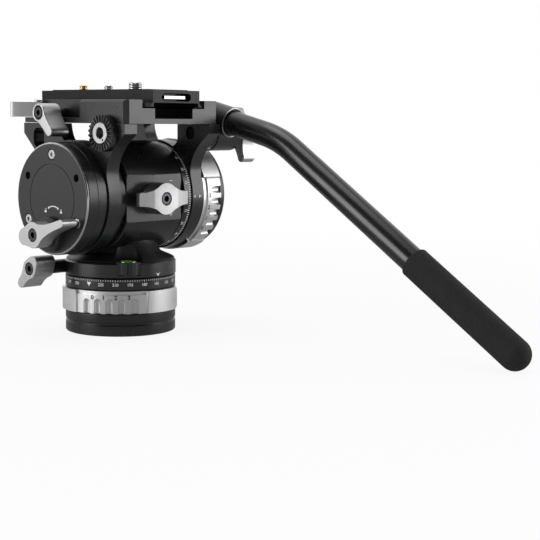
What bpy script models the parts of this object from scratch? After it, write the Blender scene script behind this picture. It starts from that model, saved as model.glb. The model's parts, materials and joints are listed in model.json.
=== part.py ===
"""Fluid video head: pan base, tilting arms, sliding camera plate and pan bar.

+Z is up, +Y is where the lens looks, -Y is the operator's side. The pan axis is the Z axis
and z = 0 is the base's seating face. The tilt axis runs along X above the pan axis.
"""
from math import acos, asin, cos, degrees, pi, radians, sin, sqrt

import bmesh
import bpy
from mathutils import Matrix, Vector

MM = 0.001
GAP = 0.3 * MM             # between solids that touch or bear on each other
RUN_GAP = 0.5 * MM         # between faces that turn past each other
OVERRUN = 1.0 * MM         # how far a cutter reaches past the face it opens
MERGE = 0.01 * MM
EDGE = 0.6 * MM            # small broken edge of machined pieces
BIG_STEPS = 32             # facets round a large turned piece
SMALL_STEPS = 16

# Pan base, from the seating face up
BASE_R = 39.7 * MM
BASE_RIM_Z = 16.0 * MM     # top of the base's full radius
BASE_CHAMFER = 1.0 * MM
BASE_FLOOR = 6.0 * MM
GROOVE_LOW_Z = 7.5 * MM
GROOVE_HIGH_Z = 9.7 * MM
GROOVE_DEPTH = 1.0 * MM
SLEEVE_STEP = 4.2 * MM
SLEEVE_R = BASE_R - SLEEVE_STEP       # the drag ring turns on this
SLEEVE_TOP_Z = 32.3 * MM
SLEEVE_WALL = 6.0 * MM
SOCKET_THREAD_R = 4.76 * MM
SOCKET_WALL = 4.4 * MM
SOCKET_BOSS_WALL = 5.0 * MM
SOCKET_H = 12.0 * MM

# Pan drag ring: three slotted panels between three raised lobes
DRAG_H = 16.0 * MM
DRAG_PANEL_PROUD = 1.2 * MM
DRAG_LOBE_PROUD = 1.0 * MM
DRAG_PANEL_R = BASE_R + DRAG_PANEL_PROUD
DRAG_LOBE_R = DRAG_PANEL_R + DRAG_LOBE_PROUD
DRAG_PANEL_DROP = 2.5 * MM
DRAG_LOBE_CHAMFER = 1.2 * MM
DRAG_LOBES = 3
DRAG_LOBE_SPAN = 44.4      # degrees round the ring
DRAG_SLOTS = 5
DRAG_SLOT_PITCH = 12.4     # degrees
DRAG_SLOT_W = 5.5 * MM
DRAG_SLOT_LEN = 10.5 * MM
DRAG_SLOT_DEPTH = 1.6 * MM
PAN_SLOT_MIDDLE = 217.9    # degrees from +X to the middle slot of the panel in view

# Scale ring and the disc that turns on it
SCALE_R = BASE_R
SCALE_WALL = 9.2 * MM
SCALE_BORE_R = SCALE_R - SCALE_WALL
SCALE_H = 8.1 * MM
DISC_R = BASE_R + GAP
DISC_H = 10.8 * MM
DISC_CHAMFER = 1.0 * MM
SPIGOT_STEP = 3.0 * MM
SPIGOT_R = SCALE_BORE_R - SPIGOT_STEP
SPIGOT_H = 7.5 * MM
SEAL_H = 3.0 * MM
AXLE_R = 9.0 * MM
AXLE_FLANGE_R = 13.0 * MM
AXLE_FLANGE_H = 3.0 * MM
BEARING_R = 16.0 * MM
BEARING_H = 6.0 * MM
STATOR_IN_R = BEARING_R + GAP
STATOR_H = 13.0 * MM
CUP_WALL = 1.5 * MM
ROTOR_WALL = 2.0 * MM
ROTOR_GAP = 0.8 * MM
ROTOR_FLANGE_H = 2.0 * MM

# Pan lock: a lug on the disc carries a shaft that pushes a brake pin down on the scale ring
PAN_LOCK_Y = 26.0 * MM
PAN_LOCK_Z = 46.3 * MM
PAN_LUG_R = 4.9 * MM
PAN_LUG_OUT_X = 45.7 * MM
LOCK_SHAFT_R = 3.0 * MM
PAN_LEVER_THICK = 16.5 * MM
PAN_LEVER_HUB_R = 7.0 * MM
BRAKE_PIN_R = 2.8 * MM
BRAKE_PIN_X = 24.0 * MM
BRAKE_PIN_H = 3.6 * MM

# Level: a fluted boss let into the edge of the disc and neck
LEVEL_ANGLE = 240.5        # degrees from +X
LEVEL_SET = 6.0 * MM
LEVEL_OUT = DISC_R - LEVEL_SET
LEVEL_R = 9.6 * MM
LEVEL_FLUTES = 10
LEVEL_FLUTE_R = 1.6 * MM
LEVEL_BOTTOM_Z = 43.4 * MM
LEVEL_TOP_Z = 52.6 * MM
VIAL_R = 5.4 * MM
VIAL_H = 4.0 * MM
VIAL_PROUD = 0.9 * MM

SCALE_LOW_Z = SLEEVE_TOP_Z + GAP
SCALE_TOP_Z = SCALE_LOW_Z + SCALE_H
DISC_LOW_Z = SCALE_TOP_Z + RUN_GAP
DISC_TOP_Z = DISC_LOW_Z + DISC_H

# Neck and housing
NECK_FOOT_R = 39.0 * MM
NECK_TOP_X = 25.5 * MM
NECK_TOP_Y = 34.0 * MM
NECK_BEND_RISE = 6.0 * MM
NECK_BEND_Z = DISC_TOP_Z + NECK_BEND_RISE
HOUSING_R = BASE_R
NECK_RISE = 5.3 * MM       # from the disc's top to the housing's lowest line
TILT_Z = DISC_TOP_Z + NECK_RISE + HOUSING_R
HOUSING_HALF = 26.0 * MM
HOUSING_WALL = 8.0 * MM
HOUSING_END = 5.0 * MM
FLAT_DEPTH = 3.4 * MM      # milled off the housing's back
FLAT_Y = HOUSING_R - FLAT_DEPTH
COLLAR_STEP = 3.2 * MM
COLLAR_R = HOUSING_R - COLLAR_STEP
COLLAR_W = 6.6 * MM
TILT_SHAFT_R = 9.0 * MM
TILT_BEARING_R = 15.0 * MM
SPRING_R = 22.0 * MM
SPRING_WIRE_R = 2.2 * MM
SPRING_TURNS = 5

# Counterbalance knob on the flat
KNOB_HUB_R = 11.2 * MM
KNOB_THICK = 12.4 * MM
KNOB_FACE_Y = FLAT_Y + GAP + KNOB_THICK
KNOB_WING = 23.1 * MM
KNOB_WING_HALF = 5.0 * MM
KNOB_WING_BACK = 6.4 * MM  # the wings' undersides stand this far off the hub's foot
KNOB_SHAFT_R = 4.0 * MM

# Left side: drum and cap fixed on the tilt shaft
ARM_SPACE = 8.0 * MM      # from the housing to an arm; the collars lie in it
ARM_IN_X = HOUSING_HALF + ARM_SPACE
ARM_THICK = 11.0 * MM
ARM_OUT_X = ARM_IN_X + ARM_THICK
ARM_PROUD = 0.6 * MM
ARM_R = HOUSING_R + ARM_PROUD
DRUM_STEP = 0.7 * MM
DRUM_R = HOUSING_R - DRUM_STEP
DRUM_W = 16.0 * MM
DRUM_OUT_X = ARM_OUT_X + DRUM_W
DRUM_WALL = 5.0 * MM
DRUM_RECESS = 3.0 * MM     # the cap's spigot sits this deep in the drum's end
CAP_R = DRUM_R - GAP
CAP_PROUD = 1.3 * MM
CAP_FACE_X = DRUM_OUT_X + CAP_PROUD
CAP_CHAMFER = 0.8 * MM
CAP_BAND = 14.9 * MM
CAP_DISC_R = CAP_R - CAP_BAND
CAP_GROOVE = 0.6 * MM
CAP_HOLE_SET = 8.2 * MM
CAP_HOLE_PCR = CAP_R - CAP_HOLE_SET
CAP_SCREW_R = 3.6 * MM
CAP_HOLE_R = 2.7 * MM
CAP_PATTERN = 6
SCREW_HEAD_H = 1.6 * MM
TILT_LOCK_SET = 14.7 * MM
TILT_LOCK_DROP = CAP_R - TILT_LOCK_SET
TILT_LOCK_Y = -0.5 * MM
TILT_BOSS_R = 12.0 * MM
TILT_BOSS_PROUD = 4.9 * MM
TILT_BOSS_OUT_X = CAP_FACE_X + TILT_BOSS_PROUD
TILT_LEVER_THICK = 12.0 * MM
TILT_LEVER_HUB_R = 9.0 * MM
BRAKE_PAD_R = 7.0 * MM
BRAKE_PAD_H = 4.0 * MM
PAD_GUIDE_WALL = 2.5 * MM

# Right side: scale ring, then the tilt drag ring on its drum
TILT_SCALE_R = HOUSING_R - DRUM_STEP
TILT_SCALE_BORE_R = 20.0 * MM
RIGHT_FLANGE_R = HOUSING_R + GAP
RUNNING_STEP = 0.1 * MM
RIGHT_FLANGE_W = 1.4 * MM
RIGHT_DRUM_R = SLEEVE_R - RUNNING_STEP
TILT_RING_SET = 2.0 * MM
TILT_RING_IN_X = ARM_OUT_X + TILT_RING_SET
TILT_RING_W = 14.0 * MM
TILT_RING_MIDDLE = -18.8   # degrees below -Y to the middle slot in view
TILT_SLOT_LEN = 9.0 * MM
CAP_STEP = 0.4 * MM
RIGHT_CAP_R = RIGHT_FLANGE_R - CAP_STEP
RIGHT_CAP_THICK = 6.0 * MM
RIGHT_CAP_OUT_X = TILT_RING_IN_X + TILT_RING_W + RIGHT_CAP_THICK
RIGHT_CAP_ROUND = 2.5 * MM
TILT_ROTOR_STEP = 8.4 * MM
TILT_ROTOR_R = RIGHT_DRUM_R - TILT_ROTOR_STEP
TILT_ROTOR_W = 4.5 * MM

# Arms' wings, from the tilt axis
PLATFORM_CLEAR = 12.3 * MM
PLATFORM_Z = TILT_Z + HOUSING_R + PLATFORM_CLEAR
REAR_Y = -56.2 * MM
FRONT_Y = 53.0 * MM
REAR_TAB_DROP = 6.8 * MM
REAR_TAB_Z = PLATFORM_Z - REAR_TAB_DROP
REAR_WING_IN_Y = -23.8 * MM
FRONT_WING_IN_Y = 12.5 * MM
FRONT_TIP_DROP = 7.5 * MM
FRONT_TIP_Z = PLATFORM_Z - FRONT_TIP_DROP
FRONT_KNEE_Y = 40.9 * MM
FRONT_KNEE_DROP = 19.4 * MM
FRONT_KNEE_Z = PLATFORM_Z - FRONT_KNEE_DROP
SWEEP_START = 162.0        # degrees round the arm's disc where the rear sweep leaves it
SWEEP_PULL_Y = -33.5 * MM
SWEEP_PULL_DROP = 22.5 * MM
SWEEP_PULL_Z = PLATFORM_Z - SWEEP_PULL_DROP
WING_HOLE_LOW_DROP = 17.5 * MM
WING_HOLE_LOW_Z = PLATFORM_Z - WING_HOLE_LOW_DROP
WING_HOLE_TOP_DROP = 4.0 * MM
WING_HOLE_TOP_Z = PLATFORM_Z - WING_HOLE_TOP_DROP
WING_HOLE_REAR_Y = 30.0 * MM
WING_HOLE_FRONT_Y = 42.0 * MM
FILLET_R = 5.0 * MM

# Rosettes
ROSETTE_Y = -37.1 * MM
ROSETTE_DROP = 6.5 * MM
ROSETTE_Z = PLATFORM_Z - ROSETTE_DROP
ROSETTE_R = 12.3 * MM
ROSETTE_PROUD = 5.5 * MM
ROSETTE_FACE_X = ARM_OUT_X + ROSETTE_PROUD
ROSETTE_TEETH = 24
ROSETTE_TOOTH = 1.0 * MM
ROSETTE_BORE_R = 4.6 * MM
INSERT_R = 7.3 * MM
INSERT_HOLE_R = 3.65 * MM

# Platform and its dovetail
PLATFORM_STEP = 1.0 * MM
PLATFORM_HALF = ARM_OUT_X - PLATFORM_STEP
PLATFORM_TOP_RISE = 16.3 * MM
PLATFORM_TOP_Z = PLATFORM_Z + PLATFORM_TOP_RISE
PLATFORM_SLAB = 3.6 * MM
PLATFORM_CORNER = 3.0 * MM
PLATFORM_CHAMFER = 1.7 * MM
LOWER_HALF = 17.7 * MM
LEDGE_RISE = 10.6 * MM
LEDGE_Z = PLATFORM_Z + LEDGE_RISE
RAIL_HALF = 29.2 * MM
BLOCK_FRONT_Y = -8.4 * MM  # the left rear block ends here, and the levers' recess starts
RECESS_DEPTH = 7.0 * MM
RECESS_X = PLATFORM_HALF - RECESS_DEPTH
RAIL_NOSE = 14.0 * MM
RAIL_NOSE_DROP = 5.0 * MM
JAW_TOP_RISE = 15.2 * MM
JAW_TOP_Z = PLATFORM_Z + JAW_TOP_RISE
CLAMP_JAW_BACK = 27.6 * MM
JAW_FRONT_Y = 38.0 * MM
JAW_REAR_Y = -50.0 * MM
JAW_TRAVEL = 1.0 * MM
PEG_W = 6.0 * MM
PEG_THICK = 2.0 * MM

# Camera plate
PLATE_REAR_Y = -58.6 * MM
PLATE_FRONT_Y = 61.4 * MM
PLATE_LEG_HALF = 24.8 * MM
PLATE_TOP_HALF = 22.2 * MM
PLATE_LEG_RISE = 11.4 * MM
PLATE_LEG_Z = PLATFORM_Z + PLATE_LEG_RISE
PLATE_SHOULDER_RISE = 3.0 * MM
PLATE_SHOULDER_Z = PLATE_LEG_Z + PLATE_SHOULDER_RISE
PLATE_THICK = 11.6 * MM
PLATE_TOP_Z = PLATE_LEG_Z + PLATE_THICK
PLATE_ARCH_HALF = 21.0 * MM
PLATE_ARCH_TOP_RISE = 2.8 * MM
PLATE_ARCH_TOP_Z = PLATE_LEG_Z + PLATE_ARCH_TOP_RISE
PLATE_SLOT_HALF = 13.9 * MM
PLATE_SLOT_LOW_DROP = 7.4 * MM
PLATE_SLOT_LOW_Z = PLATE_TOP_Z - PLATE_SLOT_LOW_DROP
PLATE_SLOT_HIGH_DROP = 2.2 * MM
PLATE_SLOT_HIGH_Z = PLATE_TOP_Z - PLATE_SLOT_HIGH_DROP
PLATE_SLOT_DEPTH = 7.0 * MM
END_BAR_SET = 1.6 * MM
END_BAR_HALF = 9.9 * MM
END_BAR_LOW_RISE = 1.3 * MM
END_BAR_LOW_Z = PLATE_SLOT_LOW_Z + END_BAR_LOW_RISE
END_BAR_HIGH_DROP = 1.5 * MM
END_BAR_HIGH_Z = PLATE_SLOT_HIGH_Z - END_BAR_HIGH_DROP
PAD_HALF = 19.0 * MM
PAD_WINDOW_HALF = 10.0 * MM
PAD_PROUD = 0.6 * MM
PAD_SEAT = 0.8 * MM
PAD_REAR_Y = -50.0 * MM
PAD_FRONT_Y = 53.0 * MM
PIN_Y = 40.6 * MM
PIN_R = 2.7 * MM
PIN_TOP_RISE = 4.1 * MM
PIN_TOP_Z = PLATE_TOP_Z + PIN_TOP_RISE
QUARTER_Y = 12.5 * MM
QUARTER_R = 3.1 * MM
QUARTER_TOP_RISE = 3.9 * MM
QUARTER_TOP_Z = PLATE_TOP_Z + QUARTER_TOP_RISE
THREE_EIGHTH_Y = -16.4 * MM
THREE_EIGHTH_R = 4.76 * MM
THREE_EIGHTH_TOP_RISE = 5.8 * MM
THREE_EIGHTH_TOP_Z = PLATE_TOP_Z + THREE_EIGHTH_TOP_RISE
SCREW_FLANGE_R = 7.5 * MM
SCREW_FLANGE_H = 2.4 * MM
SCREW_SEAT_DROP = 5.5 * MM
SCREW_SEAT_Z = PLATE_TOP_Z - SCREW_SEAT_DROP
PIN_HEAD_R = 5.0 * MM
SLOT_SPARE = 11.0 * MM

# Plate lock lever and safety catch on the left
PLATE_LOCK_Y = 16.0 * MM
PLATE_LOCK_RISE = 6.9 * MM
PLATE_LOCK_Z = PLATFORM_Z + PLATE_LOCK_RISE
PLATE_LEVER_PROUD = 17.0 * MM
PLATE_LEVER_OUT_X = PLATFORM_HALF + PLATE_LEVER_PROUD
PLATE_LEVER_HUB_R = 6.5 * MM
CATCH_Y = 42.0 * MM
CATCH_TOP_DROP = 1.8 * MM
CATCH_TOP_Z = PLATFORM_TOP_Z - CATCH_TOP_DROP
CATCH_PIN_R = 1.5 * MM
CATCH_PIN_HEAD_R = 2.6 * MM
CATCH_PIN_HEAD_H = 1.2 * MM

# Pan bar, in the plane x = BAR_X, on the right rosette
BAR_SET = 11.5 * MM
BAR_X = ROSETTE_FACE_X + BAR_SET
CLAMP_R = 13.0 * MM
CLAMP_SPAN = 23.8 * MM
CLAMP_OUT_X = ROSETTE_FACE_X + CLAMP_SPAN
TUBE_R = 8.8 * MM
BAR_RISE = 10.8 * MM       # the tube's middle line passes this far above the rosette's axis
SOCKET_WALL_R = 2.2 * MM
SOCKET_AHEAD = 8.0 * MM
SOCKET_BEHIND = 19.0 * MM
BAR_SEAT = 6.0 * MM        # along the tube, from the point above the axis to the tube's end
BAR_START_DOWN = 13.0      # degrees below the horizon at the clamp
BAR_END_DOWN = 33.2        # degrees below the horizon at the grip
BAR_BEND_START = 46.0 * MM
BAR_BEND_R = 84.0 * MM
BAR_STRAIGHT = 126.0 * MM  # from the bend to the grip
GRIP_R = 10.5 * MM
GRIP_LEN = 103.5 * MM
GRIP_BORE = 30.0 * MM
GRIP_LIP = 1.0 * MM
WASHER_R = 6.5 * MM
BAR_LEVER_SET = 3.7 * MM
BAR_LEVER_IN_X = CLAMP_OUT_X + BAR_LEVER_SET
BAR_LEVER_THICK = 12.0 * MM
BAR_LEVER_HUB_R = 9.5 * MM
BAR_BOLT_R = 4.0 * MM

# Lever outlines: angle in degrees, length, half-width at the tip
PAN_LEVER_BACK = 10.5 * MM
PAN_LEVER_BACK_HALF = 5.0 * MM
PAN_LEVER_LONG = 18.0 * MM
TILT_LEVER_LONG = 34.0 * MM
TILT_LEVER_BACK = 15.5 * MM
TILT_LEVER_BACK_HALF = 6.0 * MM
PLATE_LEVER_LONG = 20.5 * MM
BAR_LEVER_UP = 20.0 * MM
BAR_LEVER_DOWN = 21.0 * MM
CATCH_LONG = 20.0 * MM
SLIM_TIP_HALF = 2.6 * MM
TIP_HALF = 3.2 * MM
WIDE_TIP_HALF = 3.5 * MM
PAN_LEVER_TIPS = ((129.0, PAN_LEVER_BACK, PAN_LEVER_BACK_HALF), (311.6, PAN_LEVER_LONG, WIDE_TIP_HALF))
TILT_LEVER_TIPS = (
    (162.0, TILT_LEVER_LONG, SLIM_TIP_HALF), (350.0, TILT_LEVER_BACK, TILT_LEVER_BACK_HALF))
PLATE_LEVER_TIPS = ((229.0, PLATE_LEVER_LONG, WIDE_TIP_HALF),)
BAR_LEVER_TIPS = ((83.0, BAR_LEVER_UP, TIP_HALF), (253.6, BAR_LEVER_DOWN, TIP_HALF))
CATCH_TIPS = ((134.0, CATCH_LONG, TIP_HALF),)
HEX_SHARE = 0.52           # hex socket's radius as a share of a cap screw's head
FLANK = 58.0               # degrees on a lever's hub between its middle line and flank
LEVER_SCREW_R = 4.4 * MM
LEVER_SCREW_H = 3.0 * MM

LEVEL_TURN = (0.0, 0.0, 0.0)
TURN_X = (pi / 2, 0.0, pi / 2)     # local XY lies in the world's YZ, local Z points to +X
TURN_BACK = (pi / 2, 0.0, 0.0)     # local Z points to -Y, local Y up
CENTRE = (0.0, 0.0, 0.0)
TILT_CENTRE = (0.0, 0.0, TILT_Z)

BLACK = ("anodised_black", (0.012, 0.012, 0.013), 0.42, 0.7)
SILVER = ("bright_aluminium", (0.62, 0.62, 0.63), 0.32, 1.0)
STEEL = ("steel", (0.45, 0.45, 0.46), 0.3, 1.0)
DARK_STEEL = ("dark_steel", (0.05, 0.05, 0.055), 0.35, 0.9)
BRASS = ("brass", (0.7, 0.45, 0.16), 0.3, 1.0)
RUBBER = ("rubber", (0.012, 0.012, 0.012), 0.85, 0.0)
FOAM = ("grip_foam", (0.014, 0.014, 0.015), 0.8, 0.0)
GREEN = ("level_fluid", (0.25, 0.75, 0.08), 0.1, 0.0)
BRAKE = ("brake_lining", (0.25, 0.2, 0.13), 0.8, 0.0)


def clear_scene():
    for old in list(bpy.data.objects):
        bpy.data.objects.remove(old, do_unlink=True)


def new_collection(name):
    group = bpy.data.collections.new(name)
    bpy.context.scene.collection.children.link(group)
    return group


def material(look):
    name, colour, roughness, metallic = look
    made = bpy.data.materials.get(name) or bpy.data.materials.new(name)
    made.use_nodes = True
    shader = made.node_tree.nodes["Principled BSDF"]
    shader.inputs["Base Color"].default_value = (*colour, 1.0)
    shader.inputs["Roughness"].default_value = roughness
    shader.inputs["Metallic"].default_value = metallic
    return made


def place(name, mesh, look, at, turn):
    """Put a mesh in the parts' collection, or among the cutters when it has no look."""
    made = bpy.data.objects.new(name, mesh)
    made.location = at
    made.rotation_euler = turn
    if look is None:
        CUTTERS.objects.link(made)
        made.hide_render = True
        made.display_type = "WIRE"
    else:
        PARTS.objects.link(made)
        made.data.materials.append(material(look))
    return made


def shade(made, angle=32.0):
    made.data.shade_smooth()
    made.data.set_sharp_from_angle(angle=radians(angle))


def turned(name, profile, look, at=CENTRE, turn=LEVEL_TURN, steps=BIG_STEPS):
    """Turn (radius, height) points, which run down the outer side, round local Z."""
    mesh = bpy.data.meshes.new(name)
    count = len(profile)
    is_ring = min(point[0] for point in profile) > 0
    edges = [(i, i + 1) for i in range(count - 1)]
    if is_ring:
        edges.append((count - 1, 0))
    mesh.from_pydata([(radius, 0, height) for radius, height in profile], edges, [])
    made = place(name, mesh, look, at, turn)
    screw = made.modifiers.new("Turn", "SCREW")
    screw.steps = steps
    screw.render_steps = steps
    screw.use_merge_vertices = True
    screw.merge_threshold = MERGE
    screw.use_smooth_shade = True
    return made


def rod(name, radius, low, high, look, at=CENTRE, turn=LEVEL_TURN, steps=SMALL_STEPS, edge=0.0):
    """A round bar between two heights on its own axis, with both rims broken by edge."""
    profile = [(0, high), (radius - edge, high), (radius, high - edge), (radius, low + edge),
               (radius - edge, low), (0, low)]
    if edge == 0:
        profile = [(0, high), (radius, high), (radius, low), (0, low)]
    return turned(name, profile, look, at, turn, steps)


def tube(name, inner, outer, low, high, look, at=CENTRE, turn=LEVEL_TURN, steps=BIG_STEPS, edge=0.0):
    """A ring of square section, with its outer rims broken by edge."""
    profile = [(inner, high), (outer - edge, high), (outer, high - edge), (outer, low + edge),
               (outer - edge, low), (inner, low)]
    if edge == 0:
        profile = [(inner, high), (outer, high), (outer, low), (inner, low)]
    return turned(name, profile, look, at, turn, steps)


def extruded(name, outline, low, high, look, at=CENTRE, turn=LEVEL_TURN, edge=0.0):
    """A flat outline in local XY, from height low to high, as one welded mesh."""
    curve = bpy.data.curves.new(name, "CURVE")
    curve.dimensions = "2D"
    curve.fill_mode = "BOTH"
    curve.extrude = (high - low) / 2
    line = curve.splines.new("POLY")
    line.points.add(len(outline) - 1)
    for point, (across, along) in zip(line.points, outline):
        point.co = (across, along, 0, 1)
    line.use_cyclic_u = True
    flat = bpy.data.objects.new(name + "_outline", curve)
    PARTS.objects.link(flat)
    view = bpy.context.evaluated_depsgraph_get()
    mesh = bpy.data.meshes.new_from_object(flat.evaluated_get(view))
    bpy.data.objects.remove(flat, do_unlink=True)
    solid = bmesh.new()
    solid.from_mesh(mesh)
    bmesh.ops.remove_doubles(solid, verts=solid.verts, dist=MERGE)
    bmesh.ops.recalc_face_normals(solid, faces=solid.faces)
    bmesh.ops.translate(solid, verts=solid.verts, vec=(0, 0, (low + high) / 2))
    solid.to_mesh(mesh)
    solid.free()
    made = place(name, mesh, look, at, turn)
    if edge > 0:
        bevel(made, edge)
    return made


def block(name, low, high, look, edge=0.0):
    """A box between two corners in world axes."""
    centre = [(a + b) / 2 for a, b in zip(low, high)]
    sizes = [b - a for a, b in zip(low, high)]
    mesh = bpy.data.meshes.new(name)
    solid = bmesh.new()
    bmesh.ops.create_cube(solid, size=1.0)
    bmesh.ops.scale(solid, vec=sizes, verts=solid.verts)
    solid.to_mesh(mesh)
    solid.free()
    made = place(name, mesh, look, centre, LEVEL_TURN)
    if edge > 0:
        bevel(made, edge)
    return made


def bevel(made, width, segments=1, angle=40.0):
    rounding = made.modifiers.new("Edges", "BEVEL")
    rounding.width = width
    rounding.segments = segments
    rounding.limit_method = "ANGLE"
    rounding.angle_limit = radians(angle)
    rounding.use_clamp_overlap = True
    return rounding


def boolean(made, tool, operation, solver="EXACT"):
    step = made.modifiers.new(operation.title(), "BOOLEAN")
    step.operation = operation
    step.solver = solver
    step.object = tool
    return made


def cut(made, *tools, solver="EXACT"):
    for tool in tools:
        boolean(made, tool, "DIFFERENCE", solver)
    return made


def join(made, *tools):
    for tool in tools:
        boolean(made, tool, "UNION")
    return made


def arc(radius, start, end, steps, at=(0.0, 0.0)):
    """Points on a circle, from one angle to another, in degrees."""
    span = [radians(start + (end - start) * i / steps) for i in range(steps + 1)]
    return [(at[0] + radius * cos(a), at[1] + radius * sin(a)) for a in span]


def sweep(first, pull, last, steps):
    """Points on a quadratic curve from first to last, drawn towards pull."""
    points = []
    for i in range(1, steps):
        t = i / steps
        near, mid, far = (1 - t) * (1 - t), 2 * t * (1 - t), t * t
        points.append(tuple(near * a + mid * b + far * c for a, b, c in zip(first, pull, last)))
    return points


def ring_point(radius, angle):
    return (radius * cos(radians(angle)), radius * sin(radians(angle)))


def leaf_outline(hub_r, tips, steps=4):
    """A lever seen along its axis: a round hub that thins in hollow flanks to each tip."""
    outline = []
    for i, (angle, length, half) in enumerate(tips):
        along = Vector(ring_point(1, angle))
        across = Vector((-along.y, along.x))
        near = Vector(ring_point(hub_r, angle - FLANK))
        far = Vector(ring_point(hub_r, angle + FLANK))
        right = along * (length - half) - across * half
        left = along * (length - half) + across * half
        pull = along * hub_r * cos(radians(FLANK)) * 2
        outline.append(tuple(near))
        outline += sweep(near, pull - across * half, right, steps)
        outline += arc(half, angle - 90, angle + 90, steps, along * (length - half))
        outline += sweep(left, pull + across * half, far, steps)
        following = tips[(i + 1) % len(tips)][0] + (360 if i + 1 == len(tips) else 0)
        outline += arc(hub_r, angle + FLANK, following - FLANK, steps)[:-1]
    return outline


def lever(name, hub_r, tips, inner, outer, look, at, shaft_r, shaft_end):
    """A lever on an X axis: its plate, its shaft and the recess for its cap screw.

    inner and outer are distances from the head's middle, both counted towards the side it is on.
    """
    side = 1 if outer > inner else -1
    low, high = sorted((inner, outer))
    made = extruded(name, leaf_outline(hub_r, tips), low, high, look, at, TURN_X)
    ends = sorted((shaft_end, inner + side * OVERRUN))
    join(made, rod(name + "_shaft", shaft_r, ends[0], ends[1], None, at, TURN_X))
    ends = sorted((outer - side * (LEVER_SCREW_H + GAP), outer + side * OVERRUN))
    recess = rod(name + "_recess", LEVER_SCREW_R + GAP, ends[0], ends[1], None, at, TURN_X)
    return cut(made, recess)


def cap_screw(name, radius, head, look, at, turn, top, out=1):
    """A cap screw's head with its hex socket; top is the height of its face, out its side."""
    ends = sorted((top - out * head, top))
    made = rod(name, radius, ends[0], ends[1], look, at, turn, SMALL_STEPS)
    ends = sorted((top - out * head * HEX_SHARE, top + out * OVERRUN))
    return cut(made, rod(name + "_hex", radius * HEX_SHARE, ends[0], ends[1], None, at, turn, 6))


def lever_screw(name, at, outer, out):
    """The cap screw seated in a lever's recess, level with the lever's face."""
    return cap_screw(name, LEVER_SCREW_R, LEVER_SCREW_H, STEEL, at, TURN_X, outer, out)


# Pan base

SOCKET_R = SOCKET_THREAD_R + SOCKET_WALL
BASE_BORE_R = SLEEVE_R - SLEEVE_WALL
SPIGOT_LOW_Z = DISC_LOW_Z - SPIGOT_H
AXLE_LOW_Z = SOCKET_H + GAP
AXLE_SHOULDER_Z = AXLE_LOW_Z + AXLE_FLANGE_H
BEARING_BORE_R = AXLE_R + GAP
UPPER_BEARING_LOW_Z = DISC_TOP_Z - BEARING_H - GAP
STATOR_LOW_Z = BASE_FLOOR + GAP
STATOR_OUT_R = BASE_BORE_R - GAP
STATOR_TOP_Z = STATOR_LOW_Z + STATOR_H
ROTOR_LOW_Z = STATOR_LOW_Z + CUP_WALL + ROTOR_GAP
ROTOR_TOP_Z = SPIGOT_LOW_Z - GAP
ROTOR_OUT_R = STATOR_OUT_R - CUP_WALL - ROTOR_GAP


def base_body():
    """The cup that screws to the tripod: a floor, a boss round the socket and the ring's sleeve."""
    boss_r = SOCKET_R + SOCKET_BOSS_WALL
    bore_r = SOCKET_R + GAP
    groove_r = BASE_R - GROOVE_DEPTH
    profile = [
        (BASE_BORE_R, SLEEVE_TOP_Z), (SLEEVE_R, SLEEVE_TOP_Z), (SLEEVE_R, BASE_RIM_Z),
        (BASE_R, BASE_RIM_Z), (BASE_R, GROOVE_HIGH_Z), (groove_r, GROOVE_HIGH_Z),
        (groove_r, GROOVE_LOW_Z), (BASE_R, GROOVE_LOW_Z), (BASE_R, BASE_CHAMFER),
        (BASE_R - BASE_CHAMFER, 0), (bore_r, 0), (bore_r, SOCKET_H), (boss_r, SOCKET_H),
        (boss_r, BASE_FLOOR), (BASE_BORE_R, BASE_FLOOR)]
    return turned("base_body", profile, BLACK)


def thread_insert():
    """The steel socket for the tripod's stud."""
    return tube("thread_insert", SOCKET_THREAD_R, SOCKET_R, 0, SOCKET_H, STEEL,
                steps=SMALL_STEPS, edge=EDGE / 2)


def pan_axle():
    """A shaft up through the disc, on a flange that sits on the base's boss."""
    profile = [
        (0, DISC_TOP_Z), (AXLE_R - EDGE, DISC_TOP_Z), (AXLE_R, DISC_TOP_Z - EDGE),
        (AXLE_R, AXLE_SHOULDER_Z), (AXLE_FLANGE_R, AXLE_SHOULDER_Z),
        (AXLE_FLANGE_R, AXLE_LOW_Z), (0, AXLE_LOW_Z)]
    return turned("pan_axle", profile, STEEL, steps=SMALL_STEPS)


def pan_bearings():
    low = AXLE_SHOULDER_Z + GAP
    tube("pan_bearing_lower", BEARING_BORE_R, BEARING_R, low, low + BEARING_H, STEEL,
         steps=SMALL_STEPS)
    low = UPPER_BEARING_LOW_Z
    tube("pan_bearing_upper", BEARING_BORE_R, BEARING_R, low, low + BEARING_H, STEEL,
         steps=SMALL_STEPS)


def pan_drag_cups():
    """The still cup in the base and the turning sleeve that shears the fluid in it."""
    floor = STATOR_LOW_Z + CUP_WALL
    profile = [
        (STATOR_IN_R, STATOR_TOP_Z), (STATOR_IN_R + CUP_WALL, STATOR_TOP_Z),
        (STATOR_IN_R + CUP_WALL, floor), (STATOR_OUT_R - CUP_WALL, floor),
        (STATOR_OUT_R - CUP_WALL, STATOR_TOP_Z), (STATOR_OUT_R, STATOR_TOP_Z),
        (STATOR_OUT_R, STATOR_LOW_Z), (STATOR_IN_R, STATOR_LOW_Z)]
    turned("pan_drag_stator", profile, DARK_STEEL, steps=SMALL_STEPS)
    under = ROTOR_TOP_Z - ROTOR_FLANGE_H
    wall_r = ROTOR_OUT_R - ROTOR_WALL
    profile = [
        (BEARING_R + GAP, ROTOR_TOP_Z), (ROTOR_OUT_R, ROTOR_TOP_Z), (ROTOR_OUT_R, ROTOR_LOW_Z),
        (wall_r, ROTOR_LOW_Z), (wall_r, under), (BEARING_R + GAP, under)]
    turned("pan_drag_rotor", profile, STEEL, steps=SMALL_STEPS)


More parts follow.
